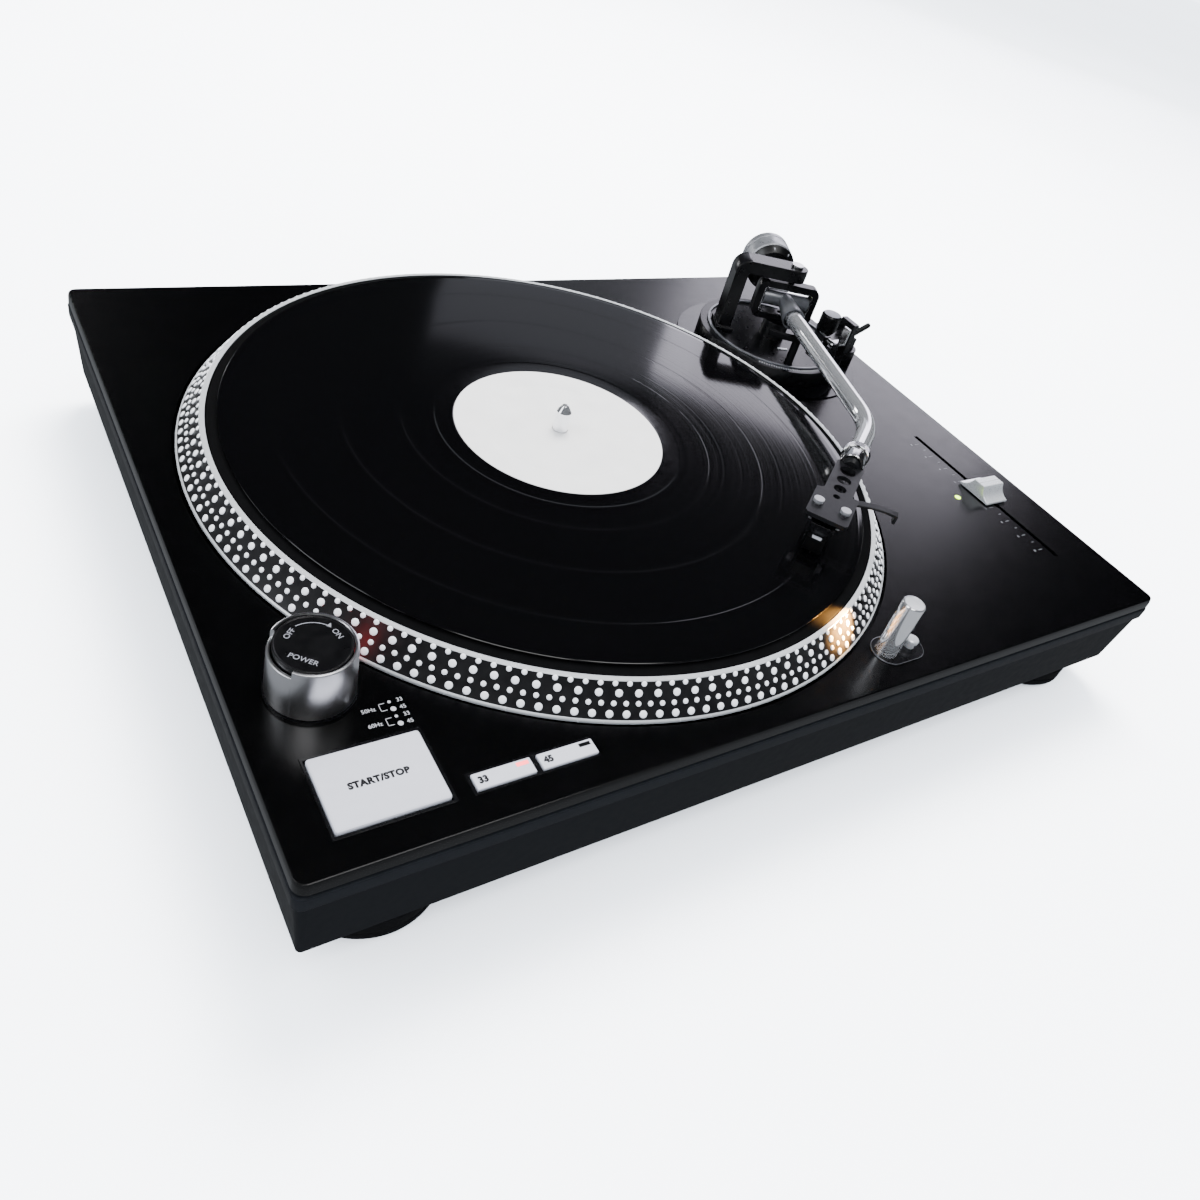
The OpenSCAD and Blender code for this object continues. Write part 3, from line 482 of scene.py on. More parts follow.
# ---- Plinth ----

band_out = 0.7
well_r, well_floor = 168.2, DECK_Z - 4
seam_z, base_lo = lo("upper_chassis").z, lo("lower_base").z
floor_z = base_lo + 3
wall, panel_t, panel_low = 4.0, 3.0, DECK_Z - 6
LAMP = Vector((36.5, -156.8, 0))
PUSH = mid("lamp_button")
hub_bore, knob_bore, arm_bore, motor_bore, lamp_bore, push_bore = 10.3, 8.0, 20.0, 9.0, 7.1, 4.1
deck = slab("deck", DECK_W, DECK_D, 4.2,
            [(0.4, panel_low), (-band_out + 0.5, DECK_Z - 5.4), (-band_out + 0.25, DECK_Z - 5),
             (-0.25, DECK_Z - 2), (0.0, DECK_Z - 0.9), (0.25, DECK_Z - 0.26), (0.85, DECK_Z)],
            "plinth", "deck_black", deck_black, sharp=50)
start_c, speed_c = mid("start_stop_frame"), mid("speed_frame")
pitch_c = mid("pitch_fader")
slot_l, slot_w = 110.0, 2.8
# The cutters of the deck run from under its panel to above it
deep, proud = DECK_Z - 8, DECK_Z + 5
motor_c = joint_at("motor_spin")


def hollow(z0, z1):
    """The space inside a shell, as a rounded block."""
    return loft_mesh([round_rect(DECK_W - 2 * wall, DECK_D - 2 * wall, 2, z) for z in (z0, z1)])


def centres(node, apart=12.0):
    """Centres, in millimetres, of the separate solids of a CAD node that stand upright."""
    groups = []
    for v in frame["nodes"][node].data.vertices:
        p = frame["nodes"][node].matrix_world @ v.co / MM
        near = next((g for g in groups if (Vector(g[0][:2]) - Vector(p[:2])).length < apart), None)
        if near is None:
            groups.append([p])
        else:
            near.append(p)
    return [Vector([(min(p[i] for p in g) + max(p[i] for p in g)) / 2 for i in range(3)]) for g in groups]


def bore(at, r, z0=deep, z1=proud, n=72):
    return prism_mesh(circle(r, n, (at.x, at.y)), z0, z1)


def opening(c, half_x, half_y):
    return box_mesh(c.x - half_x, c.y - half_y, deep, c.x + half_x, c.y + half_y, proud)


cut(deck, [
    hollow(deep, DECK_Z - panel_t), bore(PLATTER, well_r, n=256), bore(LAMP, lamp_bore),
    bore(PUSH, push_bore), bore(KNOB, knob_bore), bore(ARM, arm_bore),
    opening(start_c, 20.6, 16.2), opening(speed_c, 24.25, 4.55),
    opening(pitch_c, slot_w / 2, slot_l / 2)])
lip_r = well_r + 2.2
well_pan = lathe("platter_well", PLATTER, [
    (hub_bore, well_floor), (well_r, well_floor), (well_r, DECK_Z - panel_t), (lip_r, DECK_Z - panel_t),
    (lip_r, well_floor - 2), (hub_bore, well_floor - 2)],
    "plinth", "deck_black", deck_black, segs=256, sharp=25)
cut(well_pan, [bore(motor_c, motor_bore), bore(ARM, arm_bore)])
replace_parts(deck, "top_panel")
band = slab("chassis_band", DECK_W, DECK_D, 3.0,
            [(0.8, seam_z), (-band_out + 0.35, seam_z + 0.3), (-band_out + 0.05, seam_z + 0.9),
             (-band_out, DECK_Z - 7.4), (-band_out + 0.25, DECK_Z - 6.6), (0.5, DECK_Z - 6.05)],
            "plinth", "chassis_black", side_black, sharp=50)
screw_at = centres("base_screws")
screw_posts = []
for c in screw_at:
    for r_out, z0, z1 in ((5.5, floor_z, seam_z), (6.0, seam_z, seam_z + 6.5)):
        bm = lathe_mesh([(1.8, z0), (r_out, z0), (r_out, z1), (1.8, z1)], 32)
        screw_posts.append(moved(bm, at_xy(c)))
place("screw_posts", joined(screw_posts), "plinth", "chassis_black", base_black)
cut(band, [hollow(seam_z - 1, DECK_Z), bore(PLATTER, well_r + 2.6, well_floor - 2.4, DECK_Z, 256)])
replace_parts(band, "upper_chassis")
base = slab("base_shell", DECK_W, DECK_D, 4.4,
            [(5.2, base_lo), (3.4, base_lo + 0.25), (2.5, base_lo + 1.4), (0.5, seam_z - 0.7),
             (0.95, seam_z - 0.05)],
            "plinth", "chassis_black", base_black, sharp=50)
inlet = mid("mains_inlet")
back_y = DECK_D / 2
left_jack = lo("phono_sockets").x + 5.6
in_x, in_y = DECK_W / 2 - 6.5, back_y - 6.5
# The tray leaves walls round the two pockets of the back
phono_x0, phono_x1, phono_y = left_jack - 20, left_jack + 48, back_y - 21
inlet_x0, inlet_x1, inlet_y = inlet.x - 16.6, inlet.x + 16.6, back_y - 28
tray = [(-in_x, -in_y), (in_x, -in_y), (in_x, in_y), (phono_x1, in_y), (phono_x1, phono_y),
        (phono_x0, phono_y), (phono_x0, in_y), (inlet_x1, in_y), (inlet_x1, inlet_y),
        (inlet_x0, inlet_y), (inlet_x0, in_y), (-in_x, in_y)]
hollows = [prism_mesh(tray, floor_z, seam_z + 1)]
hollows += [bore(c, 3.6, base_lo - 1, base_lo + 2.4, 32) for c in screw_at]
hollows += [
    box_mesh(left_jack - 17, back_y - 18, base_lo + 4, left_jack + 45, back_y + 8, base_lo + 25),
    box_mesh(inlet.x - 13.6, back_y - 25, inlet.z - 10, inlet.x + 13.6, back_y + 8, inlet.z + 10)]
cut(base, hollows)
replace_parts(base, "lower_base")
flat_faces(deck, band, base)

feet = []
foot_c = [(sx * (DECK_W / 2 - 36), sy * (DECK_D / 2 - 33)) for sx in (-1, 1) for sy in (-1, 1)]
foot_r = hi("feet").y - foot_c[-1][1]
foot_profile = fillet([
    (2.2, 6), (6, 6), (6, 0, 0.6), (foot_r - 8, 0, 0.6), (foot_r - 7.4, 0.9, 0.4), (foot_r - 6.6, 0, 0.4),
    (foot_r - 2.5, 0, 2.2), (foot_r, 3, 1.5), (foot_r, 5.6, 0.4), (foot_r - 0.9, 6.2, 0.4),
    (foot_r, 6.8, 0.4),
    (foot_r, 11.5, 1.0), (foot_r - 3, 14, 1.2), (foot_r - 9, 15, 0.5), (2.2, 15)])
for x, y in foot_c:
    feet.append(moved(lathe_mesh(foot_profile, 96), Matrix.Translation((x, y, 0))))
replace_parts(place("rubber_feet", joined(feet), "plinth", "foot_rubber", rubber_black), "feet")

# ---- Platter, mat and record ----

rim_r, top_r = 166.7, 157.2
rim_z, rim_step_z, ring_z = lo("platter").z, DECK_Z + 0.8, hi("platter").z
mat_z, rec_z, rec_top = lo("slipmat").z, lo("record").z, hi("record").z


def platter_finish(a, b):
    z = (a[1] + b[1]) / 2
    r = (a[0] + b[0]) / 2
    if r > rim_r - 0.9 and z < rim_step_z + 0.2:
        return 1
    if z > ring_z - 0.25 and r > top_r - 3.2:
        return 1
    return 0


web_z = DECK_Z + 6.5
platter = lathe("platter_body", PLATTER, [
    (3.7, DECK_Z + 1.4), (14, DECK_Z + 1.4), (14, web_z), (101, web_z), (101, DECK_Z - 0.5),
    (104.9, DECK_Z - 0.5), (104.9, web_z), (156.5, web_z), (161.5, rim_z), (rim_r - 0.7, rim_z, 0.3),
    (rim_r, rim_z + 0.4, 0.3), (rim_r - 0.02, rim_step_z - 0.45, 0.4),
    (rim_r - 0.55, rim_step_z + 0.05, 0.2), (rim_r - 0.75, rim_step_z + 0.06),
    (rim_r - 0.85, rim_step_z - 0.1), (top_r + 0.25, ring_z - 0.75), (top_r + 0.1, ring_z - 0.2, 0.15),
    (top_r - 0.25, ring_z, 0.15), (top_r - 2.2, ring_z, 0.25), (top_r - 2.5, mat_z), (3.7, mat_z)],
    "platter", "platter_alloy", [flank_black, bright_rim], segs=256, mat_of=platter_finish, sharp=25)
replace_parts(platter, "platter")


# Count, distance up the flank, radius and first angle in degrees of each row of studs
STUDS = ((160, 2.25, 1.45, 1.0), (216, 6.15, 1.03, 0.6), (133, 9.95, 1.45, 0.5), (180, 13.45, 1.02, 0.9))
# Scale and height of the rings that make up one stud
DOME = ((1.0, -0.25), (1.0, 0.22), (0.86, 0.38), (0.45, 0.44))


def stud_rows():
    """Raised dots on the sloping flank of the platter."""
    foot_pt = Vector((rim_r - 0.85, rim_step_z - 0.1))
    head_pt = Vector((top_r + 0.25, ring_z - 0.75))
    slope = (head_pt - foot_pt).normalized()
    outward = Vector((-slope.y, slope.x))
    if outward.x < 0:
        outward = -outward
    bm = bmesh.new()
    sides = 14
    spots = [2 * math.pi * j / sides for j in range(sides)]
    for count, up, r, first in STUDS:
        at = foot_pt + slope * up
        for k in range(count):
            a = math.radians(first + 360.0 * k / count)
            radial = Vector((math.cos(a), math.sin(a), 0))
            tangent = Vector((-math.sin(a), math.cos(a), 0))
            centre = radial * at.x + Vector((0, 0, at.y))
            up_v = radial * slope.x + Vector((0, 0, slope.y))
            out_v = radial * outward.x + Vector((0, 0, outward.y))
            rows = []
            for scale, height in DOME:
                level = centre + out_v * height
                rows.append([
                    bm.verts.new(level + (tangent * math.cos(t) + up_v * math.sin(t)) * (r * scale))
                    for t in spots
                ])
            for a_row, b_row in zip(rows, rows[1:]):
                bridge(bm, a_row, b_row)
            bm.faces.new(rows[-1])
            bm.faces.new(list(reversed(rows[0])))
    return bm


place("strobe_studs", stud_rows(), "platter", "platter_alloy", stud_silver, at_xy(PLATTER), sharp=60)

mat_r = hi("slipmat").x - PLATTER.x
slipmat = lathe("felt_mat", PLATTER, [
    (4, mat_z + 0.02), (mat_r, mat_z + 0.02), (mat_r, rec_z - 0.05, 0.7), (4, rec_z - 0.05)],
    "platter", "mat_felt", felt_black, segs=192)
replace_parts(slipmat, "slipmat")

rec_r, run_out_r = 150.5, 59.0
label_r = hi("record_label").x - PLATTER.x
grooves = [129.5, 100.2, 73.6]
edge = [(3.7, rec_z + 0.05), (rec_r - 0.6, rec_z + 0.05, 0.3), (rec_r, rec_z + 0.75, 0.5),
        (rec_r - 0.2, rec_top - 0.35, 0.5), (rec_r - 3.0, rec_top, 0.3)]
for g in grooves:
    edge += [(g + 0.5, rec_top), (g + 0.35, rec_top - 0.03), (g - 0.35, rec_top - 0.03), (g - 0.5, rec_top)]
edge += [(run_out_r, rec_top), (58.4, rec_top - 0.12), (label_r + 1.6, rec_top - 0.12),
         (label_r + 0.4, rec_top - 0.05), (label_r + 0.1, rec_top - 0.16), (3.7, rec_top - 0.16)]


def vinyl_finish(a, b):
    r = (a[0] + b[0]) / 2
    if r < run_out_r + 0.2 or r > rec_r - 1.6:
        return 1
    return 1 if any(abs(r - g) < 0.5 for g in grooves) else 0


record = lathe("vinyl_record", PLATTER, edge, "platter", "vinyl", [vinyl, vinyl_smooth], segs=256,
               mat_of=vinyl_finish, sharp=5)
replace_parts(record, "record")
label = lathe("paper_label", PLATTER, [
    (3.72, rec_top - 0.14), (label_r, rec_top - 0.14), (label_r, rec_top + 0.03, 0.05),
    (37.6, rec_top + 0.03), (37.2, rec_top - 0.03), (36.2, rec_top - 0.03), (35.8, rec_top + 0.03),
    (4.6, rec_top + 0.03, 0.1), (3.72, rec_top - 0.05)],
    "platter", "label_paper", label_paper, segs=128, sharp=30)
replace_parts(label, "record_label")
sp_low, sp_top = lo("spindle").z, hi("spindle").z
spindle = lathe("centre_spindle", PLATTER, [
    (0, sp_low), (3.58, sp_low), (3.58, sp_top - 3.7, 0.25), (1.5, sp_top - 0.55, 0.5), (0, sp_top)],
    "platter", "steel", chrome, segs=48, sharp=50)
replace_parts(spindle, "spindle")


# ---- Power knob ----

def arc_ring(stations):
    """A closed ring of cross-sections: each station is (angle in degrees, closed profile of (r, z))."""
    bm = bmesh.new()
    loops = []
    for deg, prof in stations:
        a = math.radians(deg)
        loops.append([bm.verts.new((r * math.cos(a), r * math.sin(a), z)) for r, z in prof])
    for i in range(len(loops)):
        bridge(bm, loops[i], loops[(i + 1) % len(loops)])
    return bm


knob_top, knob_low = hi("power_sleeve").z, lo("power_sleeve").z
knob_r = 15.2
notch_from, notch_to, notch_deep = 138, 225, 3.0


def sleeve_profile(top):
    return [(13.25, knob_low), (knob_r - 0.5, knob_low), (knob_r, knob_low + 0.5), (knob_r - 0.55, top - 0.9),
            (knob_r - 0.75, top - 0.3), (knob_r - 1.25, top), (13.5, top), (13.25, top - 0.3)]


stations = []
for k in range(144):
    deg = 2.5 * k
    if abs(deg - notch_from) < 1.3 or abs(deg - notch_to) < 1.3:
        continue
    stations.append((deg, sleeve_profile(knob_top - (notch_deep if notch_from < deg < notch_to else 0))))
for deg, first, second in ((notch_from, 0, notch_deep), (notch_to, notch_deep, 0)):
    stations.append((deg - 0.3, sleeve_profile(knob_top - first)))
    stations.append((deg + 0.3, sleeve_profile(knob_top - second)))
stations.sort(key=lambda st: st[0])
sleeve = place("knob_sleeve", arc_ring(stations), "power_sleeve", "satin_alloy", knob_alloy,
               at_xy(KNOB), sharp=50)
window = box_mesh(10, -12, DECK_Z + 4, 20, 12, DECK_Z + 13)
cut(sleeve, [moved(window, at_xy(KNOB) @ spun(65))])
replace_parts(sleeve, "power_sleeve")
cap_z = hi("power_cap").z
knob_cap = lathe("knob_cap", KNOB, [
    (0, cap_z - 1.28), (12.88, cap_z - 1.28), (12.88, cap_z - 0.1, 0.2), (12.5, cap_z, 0.2),
    (12.1, cap_z - 0.18, 0.1), (0, cap_z - 0.18)],
    "plinth", "control_black", cap_black, segs=128)
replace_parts(knob_cap, "power_cap")
letters_z = cap_z - 0.16
for words, az, r, outward in (("OFF", 132, 8.6, True), ("ON", 14, 8.9, True), ("POWER", 228, 7.7, False)):
    turn = az - 90 if outward else az + 90
    at = Vector((KNOB.x + r * math.cos(math.radians(az)), KNOB.y + r * math.sin(math.radians(az))))
    writing("knob_" + words.lower(), words, 2.9, on_deck(at.x, at.y, letters_z, turn),
            "plinth", "control_black", print_grey)


def flat_arc(r, from_deg, to_deg, width, z, thick=0.06, steps=24):
    outer = [((r + width / 2) * math.cos(math.radians(a)), (r + width / 2) * math.sin(math.radians(a)))
             for a in (from_deg + (to_deg - from_deg) * k / steps for k in range(steps + 1))]
    inner = [((r - width / 2) * math.cos(math.radians(a)), (r - width / 2) * math.sin(math.radians(a)))
             for a in (to_deg - (to_deg - from_deg) * k / steps for k in range(steps + 1))]
    return prism_mesh(outer + inner, z - thick / 2, z + thick / 2)


arrow_r = 9.6
tip = Vector((arrow_r * math.cos(math.radians(38)), arrow_r * math.sin(math.radians(38))))
place("knob_arrow", joined([
    flat_arc(arrow_r, 44, 108, 0.28, letters_z),
    prism_mesh([(tip.x + 0.1, tip.y - 0.5), (tip.x + 0.75, tip.y + 1.5), (tip.x - 1.15, tip.y + 0.75)],
               letters_z - 0.03, letters_z + 0.03)]),
    "plinth", "control_black", print_grey, at_xy(KNOB))

# ---- Start, stop and speed buttons ----

top = hi("start_stop_button").z
low = DECK_Z - 2
start = slab("start_plate", 38.3, 29.0, 1.2,
             [(0.2, low), (0, low + 0.2), (0, top - 0.75), (0.22, top - 0.3), (0.75, top - 0.02),
              (0.95, top)],
             "start_button", "satin_alloy", button_alloy, (start_c.x, start_c.y), sharp=24, steps=4)
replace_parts(start, "start_stop_button")
writing("start_words", "START/STOP", 3.35, on_deck(start_c.x, start_c.y, top + 0.03), "start_button",
        "satin_alloy", print_black, spacing=1.1, bold=0.19)
for node, words in (("button_33", "33"), ("button_45", "45")):
    c = mid(node)
    bz = hi(node).z
    plate = slab("plate_" + words, 22, 6.5, 0.5,
                 [(0.2, low), (0, low + 0.2), (0, bz - 0.4), (0.15, bz - 0.12), (0.4, bz)],
                 node, "satin_alloy", button_alloy, (c.x, c.y), sharp=24, steps=3)
    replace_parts(plate, node)
    writing("words_" + words, words, 3.5, on_deck(c.x - 7.6, c.y, bz + 0.02), node, "satin_alloy",
            print_black, bold=0.19)
    window = box_mesh(c.x + 5.2, c.y + 0.75, bz - 0.3, c.x + 9.8, c.y + 2.35, bz + 0.05)
    place("window_" + words, window, node, "satin_alloy", led_pink if words == "33" else cap_black,
          bevel=0.08)


# ---- Legend by the power knob ----

rows = [-117.9, -121.2, -124.5, -127.8]
hertz_x, bracket_x0, bracket_x1, dot_x, speed_x = -180.6, -176.6, -174.4, -172.6, -168.9
letter, line = 2.35, 0.2
sunk, raised = DECK_Z - 0.02, DECK_Z + 0.05
words_z = DECK_Z + 0.02
marks = []
for i, y in enumerate(rows):
    big = i % 2
    marks.append(prism_mesh(circle(0.98 if big else 0.58, 24, (dot_x + 0.25 * big, y)), sunk, raised))
    writing(f"legend_speed_{i}", "45" if big else "33", letter, on_deck(speed_x, y, words_z),
            "plinth", "deck_black", print_white)
for i, words in enumerate(("50Hz", "60Hz")):
    y0, y1 = rows[2 * i], rows[2 * i + 1]
    writing("legend_" + words, words, letter, on_deck(hertz_x, (y0 + y1) / 2, words_z),
            "plinth", "deck_black", print_white)
    for x0, ya, x1, yb in ((bracket_x0, y0, bracket_x0 + line, y1), (bracket_x0, y0 - line, bracket_x1, y0),
                           (bracket_x0, y1, bracket_x1, y1 + line)):
        marks.append(box_mesh(x0, min(ya, yb), sunk, x1, max(ya, yb), raised))
place("legend_marks", joined(marks), "plinth", "deck_black", print_white)

# ---- Pitch control ----

scale_steps, scale_half = 8, 48.0
mark_x, number_x = 186.6, 180.6
marks = []
for i in range(-scale_steps, scale_steps + 1):
    if abs(i) < 2:
        continue
    y = pitch_c.y + i * scale_half / scale_steps
    long_mark = i % 2 == 0
    mark_l = 3.0 if long_mark else 1.8
    marks.append(box_mesh(mark_x - mark_l, y - 0.11, sunk, mark_x, y + 0.11, DECK_Z + 0.04))
    if long_mark:
        writing(f"pitch_number_{i}".replace("-", "m"), str(abs(i)), 2.2, on_deck(number_x, y, words_z),
                "plinth", "deck_black", print_grey)
place("pitch_marks", joined(marks), "plinth", "deck_black", print_grey)

knob_lo, knob_hi = lo("pitch_knob"), hi("pitch_knob")
kc = mid("pitch_knob")
half_l = (knob_hi.y - knob_lo.y) / 2
waist_r = 7.8
side = []
for k in range(13):
    a = math.radians(180 + 80 * k / 12)
    side.append((half_l + 0.9 + waist_r * math.cos(a), knob_hi.z + 1.3 + waist_r * math.sin(a)))
side = [p for p in side if p[0] <= half_l and p[1] <= knob_hi.z]
profile = [(-half_l, knob_lo.z), (half_l, knob_lo.z), (half_l, knob_lo.z + 1.2)]
profile += [(y, z) for y, z in reversed(side) if z > knob_lo.z + 1.2]
ridge = profile[-1][0]
profile += [(ridge - 0.25, knob_hi.z - 0.02), (-ridge + 0.25, knob_hi.z - 0.02)]
profile += [(-y, z) for y, z in side if z > knob_lo.z + 1.2] + [(-half_l, knob_lo.z + 1.2)]
pitch_mesh = loft_mesh([[(x, kc.y + y, z) for y, z in profile] for x in (knob_lo.x, knob_hi.x)])
pitch_knob = place("fader_cap", pitch_mesh, "pitch_slider", "satin_alloy", satin_alloy, bevel=0.35, segs=3,
                   sharp=35)
fader_line = box_mesh(knob_lo.x + 0.4, kc.y - 0.25, knob_hi.z - 0.2,
                      knob_hi.x - 0.4, kc.y + 0.25, knob_hi.z + 0.02)
place("fader_line", fader_line, "pitch_slider", "satin_alloy", print_white, bevel=0.03)
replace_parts(pitch_knob, "pitch_knob")

# ---- Target lamp ----

post_low, lamp_top = lo("target_lamp").z, hi("target_lamp").z
lamp_post = lathe("lamp_post", LAMP, [
    (0, post_low), (4.98, post_low), (4.98, lamp_top - 0.45, 0.3), (4.6, lamp_top, 0.2), (4.2, lamp_top, 0.1),
    (4.1, lamp_top - 0.12, 0.1), (0, lamp_top - 0.12)],
    "target_lamp", "lamp_chrome", [chrome, satin_alloy], segs=72,
    mat_of=lambda a, b: 1 if (a[0] + b[0]) / 2 < 4.3 and a[1] > lamp_top - 1 else 0, sharp=40)
toward = math.degrees(math.atan2(PLATTER.y - LAMP.y, PLATTER.x - LAMP.x))
lamp_m = at_xy(LAMP) @ spun(toward)
cut(lamp_post, [moved(box_mesh(3.4, -2.2, lamp_top - 8.6, 8, 2.2, lamp_top - 5.2), lamp_m)])
glass = box_mesh(3.3, -2.1, lamp_top - 8.5, 3.9, 2.1, lamp_top - 5.3)
place("lamp_window", glass, "target_lamp", "lamp_chrome", lamp_warm, lamp_m, bevel=0.1)
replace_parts(lamp_post, "target_lamp")
push_low, push_top = DECK_Z - 1.5, hi("lamp_button").z
lamp_push = lathe("lamp_push", PUSH, [
    (0, push_low), (2.2, push_low), (2.2, push_top - 2.2), (2.88, push_top - 2.0, 0.2),
    (2.88, push_top - 0.5, 0.35), (2.3, push_top, 0.3), (0, push_top)],
    "lamp_button", "satin_alloy", satin_alloy, segs=48)
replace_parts(lamp_push, "lamp_button")

oval = mid("lamp_frame")
oval_w = hi("lamp_frame").x - lo("lamp_frame").x
oval_d = hi("lamp_frame").y - lo("lamp_frame").y
oval_r = oval_d / 2 - 0.1
oval_rim = ((0.05, DECK_Z + 0.1), (0.05, DECK_Z + 0.5), (0.3, DECK_Z + 0.54), (0.3, DECK_Z + 0.1))
rim_loops = [round_rect(oval_w - 2 * i, oval_d - 2 * i, oval_r - i, z, 12, (oval.x, oval.y))
             for i, z in oval_rim]
place("lamp_frame_line", loft_mesh(rim_loops + rim_loops[:1], cap=False), "plinth", "control_black",
      pivot_grey)

# ---- CAD pieces that only need soft edges and their finish ----

def soften(node, finish, width, angle=32, segs=2):
    ob = frame["nodes"][node]
    weld = ob.modifiers.new("weld", "WELD")
    weld.merge_threshold = 2e-6
    if node in ("arm_yoke", "arm_base", "gimbal_ring"):
        flat = ob.modifiers.new("flat", "DECIMATE")
        flat.decimate_type = "DISSOLVE"
        flat.angle_limit = math.radians(1)
    bevelled(ob, width, segs, angle)
    for s in ob.material_slots:
        s.material = finish
    return ob


for node, finish, width in (
        ("arm_plate", plate_black, 0.15), ("arm_base", arm_black, 0.45), ("arm_yoke", arm_black, 0.9),
        ("scale_ring", pivot_grey, 0.12), ("gimbal_ring", arm_black, 0.7), ("cross_shaft", pivot_grey, 0.25),
        ("arm_sleeve", pivot_grey, 0.2), ("arm_stub", pivot_grey, 0.2), ("finger_lift", shell_black, 0.35),
        ("arm_rest", gloss_black, 0.4), ("rest_clip", steel_bright, 0.2), ("cue_bar", rubber_black, 0.3),
        ("cue_lever", arm_black, 0.3), ("lamp_frame", gloss_black, 0.15),
        ("start_stop_frame", gloss_black, 0.15),
        ("speed_frame", gloss_black, 0.1), ("pivot_screws", steel_bright, 0.2), ("stylus", cap_black, 0.25),
        ("cartridge", gloss_black, 0.35), ("weight_bush", arm_black, 0.15)):
    soften(node, finish, width)

# ---- Tonearm ----

def arm_path(corners, radii, steps=14):
    """Straight runs joined by arcs."""
    pts = [Vector(corners[0])]
    for i in range(1, len(corners) - 1):
        c = Vector(corners[i])
        a, b = (Vector(corners[i - 1]) - c).normalized(), (Vector(corners[i + 1]) - c).normalized()
        half = a.angle(b) / 2
        back = radii[i - 1] / math.tan(half)
        p0, p1 = c + a * back, c + b * back
        centre = c + (a + b).normalized() * (radii[i - 1] / math.sin(half))
        v0, v1 = p0 - centre, p1 - centre
        sweep_angle = v0.angle(v1)
        axis = v0.cross(v1).normalized()
        for k in range(steps + 1):
            pts.append(centre + Matrix.Rotation(sweep_angle * k / steps, 3, axis) @ v0)
    pts.append(Vector(corners[-1]))
    return pts


shell_local = ARM_M.inverted() @ SHELL_M @ Vector((0, 0, 0))
bend_at = Vector((0, 22, ARM_Z))
first = math.radians(9.0)
second_at = bend_at + Vector((-math.sin(first), math.cos(first), 0)) * 113.6
shell_local.z = ARM_Z
tube_end = shell_local + (second_at - shell_local).normalized() * 10
tube_path = arm_path([(0, 13, ARM_Z), bend_at, second_at, tube_end], [40, 45])
tube_r = 4.78
tube = place("chrome_tube", sweep_mesh(tube_path, circle(tube_r, 48)), "tonearm", "arm_chrome", chrome,
             ARM_M, sharp=50)
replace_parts(tube, "arm_tube")

teeth, tooth_h = 72, 0.22
knurl = []
for y, r in ((-14, 6.2), (-13.7, 6.6), (-9.8, 6.6), (-9.5, 6.2)):
    ring = []
    for k in range(2 * teeth):
        out = r + (tooth_h if k % 2 else 0)
        a = math.pi * k / teeth
        ring.append((out * math.cos(a), out * math.sin(a), y))
    knurl.append(ring)
collar_parts = joined([
    loft_mesh(knurl),
    lathe_mesh(fillet([
        (5.0, -9.6), (6.0, -9.6), (6.0, -8.6, 0.2), (5.7, -8.3, 0.1), (5.7, -7.7, 0.1), (6.0, -7.4, 0.2),
        (6.0, -0.7, 0.3), (5.6, -0.3), (5.0, -0.3)]), 72)])
collar = place("locking_collar", collar_parts, "collar", "satin_alloy", steel_bright,
               along(SHELL_M, 0, ARM_Z), sharp=28)
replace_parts(collar, "headshell_collar")

shell_outline = [(-6.8, 0.4), (6.8, 0.4), (6.8, 28.2), (7.6, 29.6), (9.9, 30.6), (9.9, 52.6), (8.6, 54),
                 (-8.6, 54), (-9.9, 52.6), (-9.9, 30.6), (-7.6, 29.6), (-6.8, 28.2)]
headshell = place("headshell_plate", prism_mesh(shell_outline, ARM_Z - 1, ARM_Z + 1), "tonearm",
                  "arm_black", shell_black, SHELL_M)
holes = ((7.5, 3.9), (16.8, 3.5), (25.4, 3.1), (33.0, 1.7))
below, above = ARM_Z - 3, ARM_Z + 3
cutters = [prism_mesh(circle(r, 40, (0, y)), below, above) for y, r in holes]
screw_x, slot_y, slot_r, slot_half = 6.35, 42, 1.25, 3.25
for sx in (-1, 1):
    oblong = []
    for k in range(24):
        t = math.pi * k / 12
        end_y = slot_y + (slot_half if math.sin(t) > 0 else -slot_half)
        oblong.append((sx * screw_x + slot_r * math.cos(t), end_y + slot_r * math.sin(t)))
    cutters.append(prism_mesh(oblong, below, above))
cut(headshell, [moved(bm, SHELL_M) for bm in cutters])
bevelled(headshell, 0.3, 2, 50)
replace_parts(headshell, "headshell")
neck = fillet([(0, -2), (4.6, -2), (4.6, 0.6, 0.4), (3.4, 2.2, 0.4), (0, 2.2)])
place("headshell_neck", lathe_mesh(neck, 48), "tonearm", "arm_black", shell_black, along(SHELL_M, 0, ARM_Z))

screw_y = 43
screws = []
for sx in (-1, 1):
    head = lathe_mesh(fillet([
        (0, ARM_Z + 0.9), (2.35, ARM_Z + 0.9), (2.35, ARM_Z + 2.1, 0.4), (1.6, ARM_Z + 2.5, 0.3),
        (0, ARM_Z + 2.5)]), 36)
    screws.append(moved(head, Matrix.Translation((sx * screw_x, screw_y, 0))))
screw_heads = place("shell_screws", joined(screws), "tonearm", "steel", steel_bright, SHELL_M, sharp=35)
slots = []
for sx in (-1, 1):
    slot_m = SHELL_M @ Matrix.Translation((sx * screw_x, screw_y, 0)) @ spun(38 * sx + 20)
    slots.append(moved(box_mesh(-0.32, -2.6, ARM_Z + 2.0, 0.32, 2.6, ARM_Z + 4), slot_m))
cut(screw_heads, slots)

